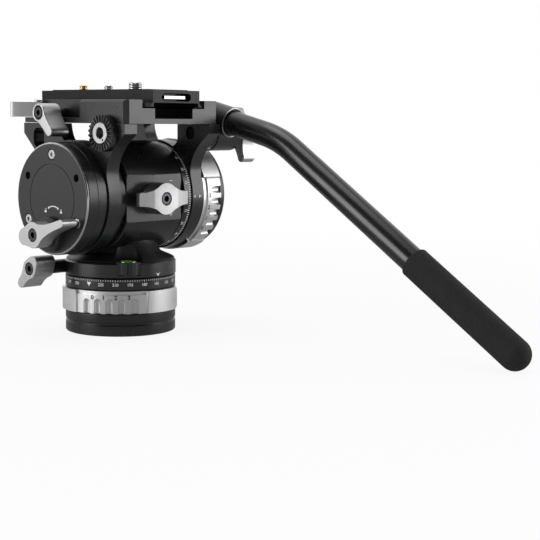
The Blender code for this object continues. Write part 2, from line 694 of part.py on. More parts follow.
def drag_slots(name, middle, at, turn, height, slot_len, out):
    """The finger slots round a drag ring, as one cutter: round-ended, open at one edge."""
    half = DRAG_SLOT_W / 2
    straight = slot_len - half
    outline = [(-OVERRUN, -half), (straight, -half)]
    outline += arc(half, -90, 90, 4, (straight, 0))[1:]
    outline.append((-OVERRUN, half))
    first = DRAG_PANEL_R - DRAG_SLOT_DEPTH
    single = extruded(name, outline, first, DRAG_LOBE_R + OVERRUN, None, at, turn)
    edge = Matrix.Translation((0, 0, 0 if out > 0 else height))
    lie_out = Matrix(((0, 0, 1, 0), (0, -out, 0, 0), (out, 0, 0, 0), (0, 0, 0, 1)))
    every = bmesh.new()
    for i in range(DRAG_LOBES):
        for k in range(DRAG_SLOTS):
            angle = middle + i * 360 / DRAG_LOBES + (k - (DRAG_SLOTS - 1) / 2) * DRAG_SLOT_PITCH
            copy = single.data.copy()
            copy.transform(edge @ Matrix.Rotation(radians(angle), 4, "Z") @ lie_out)
            every.from_mesh(copy)
    every.to_mesh(single.data)
    every.free()
    return single


def drag_ring(name, at, turn, middle, height, slot_len, out):
    """A drag ring on local Z: lobes that stand out, and panels with slots between them.

    out is +1 when the slots open at the low edge, -1 when they open at the high edge.
    """
    bore = SLEEVE_R + RUN_GAP
    made = turned(name, [
        (bore, height), (DRAG_LOBE_R - DRAG_LOBE_CHAMFER, height),
        (DRAG_LOBE_R, height - DRAG_LOBE_CHAMFER), (DRAG_LOBE_R, DRAG_LOBE_CHAMFER),
        (DRAG_LOBE_R - DRAG_LOBE_CHAMFER, 0), (bore, 0)], SILVER, at, turn)
    beyond = DRAG_LOBE_R + OVERRUN
    above = height + OVERRUN
    step_r = DRAG_PANEL_R - DRAG_LOBE_CHAMFER
    step = height - DRAG_PANEL_DROP
    profile = [(step_r, above), (beyond, above), (beyond, -OVERRUN), (DRAG_PANEL_R, -OVERRUN),
               (DRAG_PANEL_R, step), (step_r, step)]
    if out < 0:
        profile = [(radius, height - along) for radius, along in reversed(profile)]
    panels = turned(name + "_panels", profile, None, at, turn)
    for i in range(DRAG_LOBES):
        centre = middle + (i + 1 / 2) * 360 / DRAG_LOBES
        start, end = centre - DRAG_LOBE_SPAN / 2, centre + DRAG_LOBE_SPAN / 2
        wedge = arc(beyond + OVERRUN, start, end, 6) + arc(SLEEVE_R, end, start, 6)
        cut(panels, extruded(f"{name}_lobe_{i}", wedge, -2 * OVERRUN, above + OVERRUN, None, at, turn))
    slots = drag_slots(name + "_slots", middle, at, turn, height, slot_len, out)
    return cut(made, panels, slots, solver="MANIFOLD")


def pan_scale_ring():
    return tube("pan_scale_ring", SCALE_BORE_R, SCALE_R, SCALE_LOW_Z, SCALE_TOP_Z, BLACK,
                edge=EDGE / 2)


def pan_seal():
    """A rubber lip ring between the disc's spigot and the scale ring."""
    high = DISC_LOW_Z - GAP
    return tube("pan_seal", SPIGOT_R + GAP, SCALE_BORE_R - GAP, high - SEAL_H, high, RUBBER)


def level_pocket(name):
    """The round pocket for the level, through the disc's edge and the neck's foot."""
    spot = ring_point(LEVEL_OUT, LEVEL_ANGLE)
    return rod(name, LEVEL_R + GAP, LEVEL_BOTTOM_Z - GAP, NECK_BEND_Z, None, (*spot, 0))


def pan_disc():
    """The turning disc: spigot, bearing seat, the lock's lug and bores, the level's pocket."""
    seat_z = UPPER_BEARING_LOW_Z - GAP
    axle_r = AXLE_R + RUN_GAP
    profile = [
        (BEARING_R + GAP, DISC_TOP_Z), (DISC_R - DISC_CHAMFER, DISC_TOP_Z),
        (DISC_R, DISC_TOP_Z - DISC_CHAMFER), (DISC_R, DISC_LOW_Z), (SPIGOT_R, DISC_LOW_Z),
        (SPIGOT_R, SPIGOT_LOW_Z), (axle_r, SPIGOT_LOW_Z), (axle_r, seat_z),
        (BEARING_R + GAP, seat_z)]
    made = turned("pan_disc", profile, BLACK)
    lock = (0, PAN_LOCK_Y, PAN_LOCK_Z)
    lug_root = -sqrt(DISC_R ** 2 - PAN_LOCK_Y ** 2) + PAN_LUG_R
    join(made, rod("lock_lug", PAN_LUG_R, -PAN_LUG_OUT_X, lug_root, None, lock, TURN_X, edge=EDGE))
    shaft_end = -BRAKE_PIN_X + BRAKE_PIN_R + GAP
    shaft = rod("lock_bore", LOCK_SHAFT_R + GAP, -PAN_LUG_OUT_X - OVERRUN, shaft_end, None, lock,
                TURN_X)
    pin = rod("brake_bore", BRAKE_PIN_R + GAP, DISC_LOW_Z - OVERRUN, PAN_LOCK_Z, None,
              (-BRAKE_PIN_X, PAN_LOCK_Y, 0))
    return cut(made, shaft, pin, level_pocket("disc_level_pocket"))


def pan_lock():
    """The lever with its shaft and screw, and the brake pin that the shaft pushes down."""
    lock = (0, PAN_LOCK_Y, PAN_LOCK_Z)
    inner = -PAN_LUG_OUT_X - GAP
    outer = inner - PAN_LEVER_THICK
    lever("pan_lock_lever", PAN_LEVER_HUB_R, PAN_LEVER_TIPS, inner, outer, SILVER, lock,
          LOCK_SHAFT_R, -BRAKE_PIN_X - BRAKE_PIN_R - GAP)
    lever_screw("pan_lock_screw", lock, outer, -1)
    low = SCALE_TOP_Z + GAP
    rod("pan_brake_pin", BRAKE_PIN_R, low, low + BRAKE_PIN_H, BRAKE,
        (-BRAKE_PIN_X, PAN_LOCK_Y, 0), edge=EDGE)


def level():
    """The fluted boss in the pocket, and the bubble level let into its top."""
    spot = ring_point(LEVEL_OUT, LEVEL_ANGLE)
    at = (*spot, 0)
    outline = []
    for i in range(LEVEL_FLUTES):
        outline += arc(LEVEL_R, 360 * i / LEVEL_FLUTES, 360 * (i + 1 / 2) / LEVEL_FLUTES, 2)
        outline.append(ring_point(LEVEL_R - LEVEL_FLUTE_R, 360 * (i + 3 / 4) / LEVEL_FLUTES))
    made = extruded("level_housing", outline, LEVEL_BOTTOM_Z, LEVEL_TOP_Z, BLACK, at)
    seat_z = LEVEL_TOP_Z - VIAL_H + VIAL_PROUD - GAP
    cut(made, rod("vial_seat", VIAL_R + GAP, seat_z, LEVEL_TOP_Z + OVERRUN, None, at))
    low = seat_z + GAP
    rod("level_vial", VIAL_R, low, low + VIAL_H, GREEN, at, edge=VIAL_PROUD / 2)


# Neck, housing and what turns in it

SHAFT_LEFT_X = DRUM_OUT_X - DRUM_RECESS - DRUM_WALL - GAP
SHAFT_RIGHT_X = TILT_RING_IN_X + TILT_RING_W - DRUM_WALL - ROTOR_GAP
CHAMBER_R = HOUSING_R - HOUSING_WALL


def neck(name):
    """The foot of the housing: a round edge on the disc that closes to an oval under the body."""
    rings = ((NECK_FOOT_R, NECK_FOOT_R, DISC_TOP_Z + GAP), (NECK_TOP_X, NECK_TOP_Y, NECK_BEND_Z),
             (NECK_TOP_X, NECK_TOP_Y, TILT_Z - CHAMBER_R))
    solid = bmesh.new()
    rows = []
    for half_x, half_y, height in rings:
        angles = [2 * pi * i / BIG_STEPS for i in range(BIG_STEPS)]
        rows.append([solid.verts.new((half_x * cos(a), half_y * sin(a), height)) for a in angles])
    for low, high in zip(rows, rows[1:]):
        for i in range(BIG_STEPS):
            k = (i + 1) % BIG_STEPS
            solid.faces.new((low[i], low[k], high[k], high[i]))
    solid.faces.new(list(reversed(rows[0])))
    solid.faces.new(rows[-1])
    mesh = bpy.data.meshes.new(name)
    solid.to_mesh(mesh)
    solid.free()
    return place(name, mesh, BLACK, CENTRE, LEVEL_TURN)


def main_housing():
    """Neck and body in one casting: a chamber along the tilt axis, a flat, the knob's bore."""
    made = neck("main_housing")
    end = HOUSING_HALF - HOUSING_END
    join(made, rod("housing_body", HOUSING_R, -HOUSING_HALF, HOUSING_HALF, None, TILT_CENTRE,
                   TURN_X, BIG_STEPS))
    bore_r = TILT_SHAFT_R + GAP
    seat_r = TILT_BEARING_R + GAP
    deep = HOUSING_HALF + OVERRUN
    chamber = turned("housing_chamber", [
        (0, deep), (seat_r, deep), (seat_r, end), (CHAMBER_R, end), (CHAMBER_R, -end),
        (bore_r, -end), (bore_r, -deep), (0, -deep)], None, TILT_CENTRE, TURN_X, BIG_STEPS)
    flat = block("housing_flat", (-HOUSING_HALF - OVERRUN, -HOUSING_R - OVERRUN, TILT_Z - HOUSING_R),
                 (HOUSING_HALF + OVERRUN, -FLAT_Y, TILT_Z + HOUSING_R), None)
    knob = rod("knob_bore", KNOB_SHAFT_R + GAP, 0, HOUSING_R, None, TILT_CENTRE, TURN_BACK)
    return cut(made, chamber, flat, knob, level_pocket("neck_level_pocket"), solver="MANIFOLD")


def left_collar():
    """The plain ring between the housing and the left arm."""
    low = -HOUSING_HALF - GAP
    return tube("left_collar", TILT_SHAFT_R + GAP, COLLAR_R, low - COLLAR_W, low, BLACK,
                TILT_CENTRE, TURN_X)


def tilt_shaft():
    """The still shaft through the housing: both arms and the spring turn about it."""
    return rod("tilt_shaft", TILT_SHAFT_R, -SHAFT_LEFT_X, SHAFT_RIGHT_X, STEEL, TILT_CENTRE,
               TURN_X, SMALL_STEPS, EDGE)


def tilt_bearings():
    inner, outer = ARM_IN_X + GAP, ARM_IN_X + ARM_THICK - GAP
    tube("tilt_bearing_left", TILT_SHAFT_R + GAP, TILT_BEARING_R, -outer, -inner, STEEL,
         TILT_CENTRE, TURN_X, SMALL_STEPS)
    tube("tilt_bearing_right", TILT_SHAFT_R + GAP, TILT_BEARING_R, inner, outer, STEEL,
         TILT_CENTRE, TURN_X, SMALL_STEPS)


def counterbalance_spring():
    """A torsion spring: one wire wound round the tilt shaft in the housing's chamber."""
    curve = bpy.data.curves.new("counterbalance_spring", "CURVE")
    curve.dimensions = "3D"
    curve.bevel_depth = SPRING_WIRE_R
    curve.bevel_resolution = 1
    curve.use_fill_caps = True
    per_turn = 10
    count = SPRING_TURNS * per_turn + 1
    half = HOUSING_HALF - HOUSING_END - SPRING_WIRE_R - GAP
    line = curve.splines.new("POLY")
    line.points.add(count - 1)
    for i, point in enumerate(line.points):
        angle = 2 * pi * i / per_turn
        along = -half + 2 * half * i / (count - 1)
        point.co = (SPRING_R * cos(angle), SPRING_R * sin(angle), along, 1)
    guide = bpy.data.objects.new("spring_guide", curve)
    PARTS.objects.link(guide)
    view = bpy.context.evaluated_depsgraph_get()
    mesh = bpy.data.meshes.new_from_object(guide.evaluated_get(view))
    bpy.data.objects.remove(guide, do_unlink=True)
    solid = bmesh.new()
    solid.from_mesh(mesh)
    bmesh.ops.remove_doubles(solid, verts=solid.verts, dist=MERGE)
    solid.to_mesh(mesh)
    solid.free()
    return place("counterbalance_spring", mesh, STEEL, TILT_CENTRE, TURN_X)


def counterbalance_knob():
    """A two-winged knob on the flat, with swept-back wings, a shaft and a cap screw."""
    foot = FLAT_Y + GAP
    outline = leaf_outline(KNOB_HUB_R, (
        (0, KNOB_WING, KNOB_WING_HALF), (180, KNOB_WING, KNOB_WING_HALF)))
    made = extruded("counterbalance_knob", outline, foot, KNOB_FACE_Y, SILVER, TILT_CENTRE,
                    TURN_BACK)
    under = []
    for side in (-1, 1):
        under.append(block(f"wing_under_{side}", sorted_corner(side, foot), wing_corner(side, foot),
                           None))
    cut(made, *under)
    shaft = rod("knob_shaft", KNOB_SHAFT_R, CHAMBER_R - OVERRUN, foot + OVERRUN, None, TILT_CENTRE,
                TURN_BACK)
    recess = rod("knob_recess", LEVER_SCREW_R + GAP, KNOB_FACE_Y - LEVER_SCREW_H - GAP,
                 KNOB_FACE_Y + OVERRUN, None, TILT_CENTRE, TURN_BACK)
    join(made, shaft)
    cut(made, recess)
    return cap_screw("counterbalance_screw", LEVER_SCREW_R, LEVER_SCREW_H, STEEL, TILT_CENTRE,
                     TURN_BACK, KNOB_FACE_Y)


def sorted_corner(side, foot):
    """The low corner of the space under one wing of the counterbalance knob."""
    reach = KNOB_WING + OVERRUN
    low_x = KNOB_HUB_R if side > 0 else -reach
    return (low_x, -foot - KNOB_WING_BACK, TILT_Z - KNOB_HUB_R)


def wing_corner(side, foot):
    """The high corner of that space."""
    reach = KNOB_WING + OVERRUN
    high_x = reach if side > 0 else -KNOB_HUB_R
    return (high_x, -foot + OVERRUN, TILT_Z + KNOB_HUB_R)


# Left side

LOCK_AT = (0.0, TILT_LOCK_Y, TILT_Z - TILT_LOCK_DROP)
DRUM_IN_X = ARM_OUT_X + GAP
CAP_BACK_X = DRUM_OUT_X - DRUM_RECESS + GAP
CAP_SPIGOT_R = DRUM_R - DRUM_WALL


def left_drum():
    """The round housing fixed on the shaft's left end; the brake pad slides in its boss."""
    inner_r = DRUM_R - DRUM_WALL
    recess_r = CAP_SPIGOT_R + GAP
    recess = -DRUM_OUT_X + DRUM_RECESS
    floor = recess + DRUM_WALL
    bore_r = TILT_SHAFT_R + GAP
    hub_r = TILT_BEARING_R
    made = turned("left_drum", [
        (0, floor), (bore_r, floor), (bore_r, -DRUM_IN_X), (hub_r, -DRUM_IN_X), (hub_r, floor),
        (inner_r, floor), (inner_r, -DRUM_IN_X), (DRUM_R, -DRUM_IN_X), (DRUM_R, -DRUM_OUT_X),
        (recess_r, -DRUM_OUT_X), (recess_r, recess), (0, recess)], BLACK, TILT_CENTRE, TURN_X)
    pad_r = BRAKE_PAD_R + GAP
    guide_end = -DRUM_IN_X - EDGE
    join(made, rod("pad_guide", pad_r + PAD_GUIDE_WALL, floor - OVERRUN, guide_end, None, LOCK_AT, TURN_X))
    pad = rod("pad_bore", pad_r, guide_end - BRAKE_PAD_H, -ARM_OUT_X, None, LOCK_AT, TURN_X)
    shaft = rod("drum_lock_bore", LOCK_SHAFT_R + GAP, -DRUM_OUT_X, -DRUM_IN_X, None, LOCK_AT, TURN_X)
    return cut(made, pad, shaft, solver="MANIFOLD")


def left_cap():
    """The face plate in the drum's end: a ring groove, five holes and the lock's boss."""
    groove = -CAP_FACE_X + CAP_GROOVE
    under_rim = -DRUM_OUT_X - GAP
    made = turned("left_cap", [
        (0, -CAP_BACK_X), (CAP_SPIGOT_R, -CAP_BACK_X), (CAP_SPIGOT_R, under_rim), (CAP_R, under_rim),
        (CAP_R, -CAP_FACE_X + CAP_CHAMFER), (CAP_R - CAP_CHAMFER, -CAP_FACE_X),
        (CAP_DISC_R + CAP_GROOVE, -CAP_FACE_X), (CAP_DISC_R + CAP_GROOVE, groove),
        (CAP_DISC_R, groove), (CAP_DISC_R, -CAP_FACE_X), (0, -CAP_FACE_X)],
        BLACK, TILT_CENTRE, TURN_X)
    join(made, rod("lock_boss", TILT_BOSS_R, -TILT_BOSS_OUT_X, groove + GAP, None, LOCK_AT, TURN_X,
                   edge=EDGE))
    cut(made, rod("cap_lock_bore", LOCK_SHAFT_R + GAP, -TILT_BOSS_OUT_X - OVERRUN,
                  -CAP_BACK_X + OVERRUN, None, LOCK_AT, TURN_X))
    for i in range(CAP_PATTERN):
        if i == CAP_PATTERN // 2:
            continue  # the lock's boss stands in this place
        across, up = ring_point(CAP_HOLE_PCR, 90 + 360 * i / CAP_PATTERN)
        radius = CAP_SCREW_R + GAP if i % 2 == 0 else CAP_HOLE_R
        hole = rod(f"cap_hole_{i}", radius, -CAP_FACE_X - OVERRUN, -CAP_FACE_X + SCREW_HEAD_H + GAP,
                   None, (0, across, TILT_Z + up), TURN_X)
        cut(made, hole, solver="MANIFOLD")
    return made


def left_cap_screws():
    """The three screws in every other hole of the cap."""
    for i in range(0, CAP_PATTERN, 2):
        across, up = ring_point(CAP_HOLE_PCR, 90 + 360 * i / CAP_PATTERN)
        cap_screw(f"left_cap_screw_{i // 2 + 1}", CAP_SCREW_R, SCREW_HEAD_H, STEEL,
                  (0, across, TILT_Z + up), TURN_X, -CAP_FACE_X, -1)


def tilt_lock():
    """The lever on the cap, its screw, and the pad that its shaft presses on the arm."""
    inner = -TILT_BOSS_OUT_X - GAP
    outer = inner - TILT_LEVER_THICK
    pad_back = -DRUM_IN_X - BRAKE_PAD_H
    lever("tilt_lock_lever", TILT_LEVER_HUB_R, TILT_LEVER_TIPS, inner, outer, SILVER, LOCK_AT,
          LOCK_SHAFT_R, pad_back - GAP)
    lever_screw("tilt_lock_screw", LOCK_AT, outer, -1)
    rod("tilt_brake_pad", BRAKE_PAD_R, pad_back, -DRUM_IN_X, BRAKE, LOCK_AT, TURN_X)


# Right side

SCALE_RING_IN_X = HOUSING_HALF + GAP
RIGHT_DRUM_IN_X = ARM_OUT_X + GAP
RIGHT_DRUM_OUT_X = TILT_RING_IN_X + TILT_RING_W
RIGHT_CAP_IN_X = RIGHT_DRUM_OUT_X + GAP
RIGHT_CHAMBER_R = RIGHT_DRUM_R - DRUM_WALL


def tilt_scale_ring():
    """The degree ring between the housing and the right arm; it turns with the arm."""
    return tube("tilt_scale_ring", TILT_SCALE_BORE_R, TILT_SCALE_R, SCALE_RING_IN_X + RUN_GAP,
                ARM_IN_X - GAP, BLACK, TILT_CENTRE, TURN_X, edge=EDGE / 2)


def right_drum():
    """The drum on the right arm: a chamfered flange, the ring's sleeve and the fluid chamber."""
    flange = RIGHT_DRUM_IN_X + RIGHT_FLANGE_W
    floor = flange + CUP_WALL
    bore_r = TILT_SHAFT_R + GAP
    return turned("right_drum", [
        (RIGHT_CHAMBER_R, RIGHT_DRUM_OUT_X), (RIGHT_DRUM_R, RIGHT_DRUM_OUT_X),
        (RIGHT_DRUM_R, flange), (RIGHT_FLANGE_R - EDGE, flange), (RIGHT_FLANGE_R, flange - EDGE),
        (RIGHT_FLANGE_R, RIGHT_DRUM_IN_X), (bore_r, RIGHT_DRUM_IN_X), (bore_r, floor),
        (RIGHT_CHAMBER_R, floor)], BLACK, TILT_CENTRE, TURN_X)


def tilt_drag_rotor():
    """The still disc on the shaft's end, which the fluid in the drum drags against."""
    high = SHAFT_RIGHT_X - GAP
    return tube("tilt_drag_rotor", TILT_SHAFT_R + GAP, TILT_ROTOR_R, high - TILT_ROTOR_W, high,
                STEEL, TILT_CENTRE, TURN_X, SMALL_STEPS)


def right_cap():
    """The rounded lid of the drum, with a spigot that centres it."""
    shoulder = RIGHT_CAP_OUT_X - RIGHT_CAP_ROUND
    spigot_r = RIGHT_CHAMBER_R - GAP
    low = RIGHT_CAP_IN_X - CUP_WALL
    rim_r = RIGHT_CAP_R - RIGHT_CAP_ROUND
    rim = [(rim_r + x, shoulder + y) for x, y in reversed(arc(RIGHT_CAP_ROUND, 0, 90, 4))]
    return turned("right_cap", [(0, RIGHT_CAP_OUT_X)] + rim + [
        (RIGHT_CAP_R, RIGHT_CAP_IN_X), (spigot_r, RIGHT_CAP_IN_X), (spigot_r, low), (0, low)],
        BLACK, TILT_CENTRE, TURN_X)


# Arms and rosettes

ROSETTE_AT = (0.0, ROSETTE_Y, ROSETTE_Z)


def arm_outline():
    """An arm in (y, z) round the tilt axis: a disc with a swept rear wing and a front wing."""
    def from_axis(y, z):
        return (y, z - TILT_Z)

    def on_disc(y, side=1):
        return (y, side * sqrt(ARM_R ** 2 - y ** 2))

    top = PLATFORM_Z - GAP - TILT_Z
    rear = from_axis(REAR_Y, REAR_TAB_Z)
    start = ring_point(ARM_R, SWEEP_START)
    knee = from_axis(FRONT_KNEE_Y, FRONT_KNEE_Z)
    reach = sqrt(knee[0] ** 2 + knee[1] ** 2)
    leave = degrees(asin(knee[1] / reach) - acos(ARM_R / reach))
    rear_foot = on_disc(REAR_WING_IN_Y + FILLET_R)
    front_foot = on_disc(FRONT_WING_IN_Y - FILLET_R)
    outline = arc(ARM_R, SWEEP_START, 360 + leave, 28)
    outline += [knee, from_axis(FRONT_Y, FRONT_TIP_Z), (FRONT_Y, top), (FRONT_WING_IN_Y, top)]
    bend = (FRONT_WING_IN_Y - FILLET_R / 4, front_foot[1] + FILLET_R / 2)
    outline += sweep((FRONT_WING_IN_Y, top), bend, front_foot, 4)
    low, high = degrees(asin(front_foot[1] / ARM_R)), 180 - degrees(asin(rear_foot[1] / ARM_R))
    outline += arc(ARM_R, low, high, 6)
    inner = (REAR_WING_IN_Y, rear_foot[1] + FILLET_R)
    outline += sweep(rear_foot, (REAR_WING_IN_Y + FILLET_R / 4, rear_foot[1] + FILLET_R / 4), inner, 3)
    outline += [inner, (REAR_WING_IN_Y, top), (REAR_Y, top), rear]
    outline += sweep(rear, from_axis(SWEEP_PULL_Y, SWEEP_PULL_Z), start, 8)
    return outline


def wing_hole():
    """The hole in the front wing, which follows the wing's slope."""
    low_y = WING_HOLE_REAR_Y
    slope = (FRONT_TIP_Z - FRONT_KNEE_Z) / (FRONT_Y - FRONT_KNEE_Y)
    rise = slope * (WING_HOLE_FRONT_Y - low_y) / 2
    return [(low_y, WING_HOLE_LOW_Z - TILT_Z), (low_y + FILLET_R / 2, WING_HOLE_LOW_Z - TILT_Z),
            (WING_HOLE_FRONT_Y, WING_HOLE_LOW_Z - TILT_Z + rise),
            (WING_HOLE_FRONT_Y, WING_HOLE_TOP_Z - TILT_Z), (low_y, WING_HOLE_TOP_Z - TILT_Z)]


def arm(name, side):
    """One arm: side is -1 on the left, +1 on the right."""
    low, high = sorted((side * ARM_IN_X, side * ARM_OUT_X))
    made = extruded(name, arm_outline(), low, high, BLACK, TILT_CENTRE, TURN_X)
    hole = extruded(name + "_hole", wing_hole(), low - OVERRUN, high + OVERRUN, None, TILT_CENTRE,
                    TURN_X)
    bearing = rod(name + "_bearing", TILT_BEARING_R + GAP, low - OVERRUN, high + OVERRUN, None,
                  TILT_CENTRE, TURN_X)
    bolt = rod(name + "_bolt", ROSETTE_BORE_R, low - OVERRUN, high + OVERRUN, None, ROSETTE_AT,
               TURN_X)
    return cut(made, hole, bearing, bolt, solver="MANIFOLD")


def rosette(name, side, bore, teeth):
    """A seat on an arm's outer face with radial teeth cut in it; its bore meets the arm's."""
    low, high = sorted((side * (ARM_OUT_X + GAP), side * ROSETTE_FACE_X))
    made = tube(name, bore, ROSETTE_R, low, high, BLACK, ROSETTE_AT, TURN_X, 2 * teeth)
    face = side * ROSETTE_FACE_X
    notches = bmesh.new()
    width = pi * ROSETTE_R / ROSETTE_TEETH
    for i in range(teeth):
        tooth = bmesh.new()
        bmesh.ops.create_cube(tooth, size=1.0)
        bmesh.ops.scale(tooth, vec=(ROSETTE_R, width, 2 * ROSETTE_TOOTH), verts=tooth.verts)
        bmesh.ops.translate(tooth, vec=(bore + EDGE + ROSETTE_R / 2, 0, face), verts=tooth.verts)
        turn = Matrix.Rotation(2 * pi * i / teeth, 4, "Z")
        bmesh.ops.transform(tooth, matrix=turn, verts=tooth.verts)
        single = bpy.data.meshes.new(name + "_tooth")
        tooth.to_mesh(single)
        tooth.free()
        notches.from_mesh(single)
    mesh = bpy.data.meshes.new(name + "_notches")
    notches.to_mesh(mesh)
    notches.free()
    return cut(made, place(name + "_notches", mesh, None, ROSETTE_AT, TURN_X), solver="MANIFOLD")


def rosettes():
    """The toothed seat that shows on the left, and the right one under the bar's clamp."""
    rosette("left_rosette", -1, INSERT_R + GAP, ROSETTE_TEETH)
    low = ARM_OUT_X + GAP
    tube("right_rosette", ROSETTE_BORE_R, ROSETTE_R, low, ROSETTE_FACE_X, BLACK, ROSETTE_AT, TURN_X,
         SMALL_STEPS, EDGE)


def left_rosette_insert():
    """The bright steel bush in the left rosette, for a second bar's bolt."""
    low, high = -ROSETTE_FACE_X, -ARM_OUT_X - GAP
    return tube("left_rosette_insert", INSERT_HOLE_R, INSERT_R, low, high, STEEL, ROSETTE_AT, TURN_X,
                SMALL_STEPS)


# Platform, jaws, levers and camera plate

SLAB_TOP_Z = PLATFORM_Z + PLATFORM_SLAB
JAW_LOW_Z = LEDGE_Z + GAP
PLATE_LOCK_AT = (0.0, PLATE_LOCK_Y, PLATE_LOCK_Z)
CATCH_HUB_R = (PLATFORM_HALF - RECESS_X - GAP) / 2
CATCH_AT = (-RECESS_X - GAP - CATCH_HUB_R, CATCH_Y, 0.0)
PEG_OUT_X = CLAMP_JAW_BACK - GAP
LONG = (pi / 2, 0.0, 0.0)          # local XY lies in the world's XZ, local Z points to -Y


def along_y(name, outline, rear, front, look):
    """A section in (x, z), drawn out between two places along Y."""
    return extruded(name, outline, -front, -rear, look, CENTRE, LONG)


def platform():
    """The trough on the arms: two ledges, two rails, and a recess on the left for the levers."""
    top, half, trim = PLATFORM_TOP_Z, PLATFORM_HALF, PLATFORM_CHAMFER
    right = [(LOWER_HALF, SLAB_TOP_Z), (LOWER_HALF, LEDGE_Z), (RAIL_HALF, LEDGE_Z),
             (RAIL_HALF, top), (half - trim, top), (half, top - trim), (half, PLATFORM_Z)]
    section = right + [(-x, z) for x, z in reversed(right)]
    made = along_y("platform", section, REAR_Y, FRONT_Y, BLACK)
    recess = block("lever_recess", (-half - OVERRUN, BLOCK_FRONT_Y, SLAB_TOP_Z),
                   (-RECESS_X, FRONT_Y + OVERRUN, top + OVERRUN), None)
    nose = FRONT_Y - RAIL_NOSE
    ramp = [(nose, top), (nose, top + OVERRUN), (FRONT_Y + RAIL_NOSE, top + OVERRUN),
            (FRONT_Y + RAIL_NOSE, top - 2 * RAIL_NOSE_DROP)]
    cut(made, recess, extruded("rail_nose", ramp, -half - OVERRUN, half + OVERRUN, None, CENTRE,
                               TURN_X))
    for side in (-1, 1):
        edge, over = PLATFORM_CORNER, OVERRUN
        corner = [(side * (half - edge - over), REAR_Y - over), (side * (half + over), REAR_Y - over),
                  (side * (half + over), REAR_Y + edge + over)]
        cut(made, extruded(f"rear_corner_{side}", corner, PLATFORM_Z - over, top + over, None))
    lock = rod("plate_lock_bore", LOCK_SHAFT_R + GAP, -half, -LOWER_HALF - OVERRUN, None,
               PLATE_LOCK_AT, TURN_X)
    reach = PEG_W / 2 + GAP
    peg = block("peg_slot", (-PEG_OUT_X - JAW_TRAVEL - GAP, PLATE_LOCK_Y - reach, SLAB_TOP_Z),
                (-PEG_OUT_X + PEG_THICK + GAP, PLATE_LOCK_Y + reach, LEDGE_Z + OVERRUN), None)
    pin = rod("catch_pin_hole", CATCH_PIN_R + GAP, PLATFORM_Z - OVERRUN, SLAB_TOP_Z + OVERRUN, None,
              CATCH_AT)
    return cut(made, lock, peg, pin, solver="MANIFOLD")


def jaw_section(back):
    """The dovetail jaw's section on the right side, over the plate's sloping foot."""
    foot = PLATE_LEG_HALF + 3 * GAP
    head = PLATE_TOP_HALF + 2 * GAP
    return [(foot, JAW_LOW_Z), (back, JAW_LOW_Z), (back, JAW_TOP_Z), (head, JAW_TOP_Z),
            (head, PLATE_SHOULDER_Z + GAP)]


def jaws():
    """The fixed jaw against the right rail, and the moving jaw with its peg on the left."""
    along_y("fixed_jaw", jaw_section(RAIL_HALF - GAP), JAW_REAR_Y, JAW_FRONT_Y, SILVER)
    section = [(-x, z) for x, z in reversed(jaw_section(CLAMP_JAW_BACK))]
    made = along_y("clamp_jaw", section, JAW_REAR_Y, JAW_FRONT_Y, SILVER)
    peg = block("jaw_peg", (-PEG_OUT_X, PLATE_LOCK_Y - PEG_W / 2, PLATE_LOCK_Z),
                (-PEG_OUT_X + PEG_THICK - GAP, PLATE_LOCK_Y + PEG_W / 2, JAW_LOW_Z + OVERRUN), None)
    return join(made, peg)


def plate_lock():
    inner = -ARM_OUT_X - RUN_GAP
    end = -PEG_OUT_X - JAW_TRAVEL - GAP
    lever("plate_lock_lever", PLATE_LEVER_HUB_R, PLATE_LEVER_TIPS, inner, -PLATE_LEVER_OUT_X,
          SILVER, PLATE_LOCK_AT, LOCK_SHAFT_R, end)
    lever_screw("plate_lock_screw", PLATE_LOCK_AT, -PLATE_LEVER_OUT_X, -1)


def safety_catch():
    """The thumb catch in front of the lock lever, on an upright pin through the platform's slab."""
    made = extruded("safety_catch", leaf_outline(CATCH_HUB_R, CATCH_TIPS), SLAB_TOP_Z + GAP,
                    CATCH_TOP_Z, SILVER, CATCH_AT)
    cut(made, rod("catch_bore", CATCH_PIN_R + GAP, PLATFORM_Z, CATCH_TOP_Z + OVERRUN, None, CATCH_AT))
    head = CATCH_TOP_Z + GAP
    turned("safety_catch_pin", [
        (0, head + CATCH_PIN_HEAD_H), (CATCH_PIN_HEAD_R, head + CATCH_PIN_HEAD_H),
        (CATCH_PIN_HEAD_R, head), (CATCH_PIN_R, head), (CATCH_PIN_R, PLATFORM_Z + GAP),
        (0, PLATFORM_Z + GAP)], STEEL, CATCH_AT, steps=SMALL_STEPS)


def slot_outline(half, rear, front, steps=5):
    """A round-ended slot in (x, y)."""
    return (arc(half, 0, 180, steps, (0, front - half)) + arc(half, 180, 360, steps, (0, rear + half)))


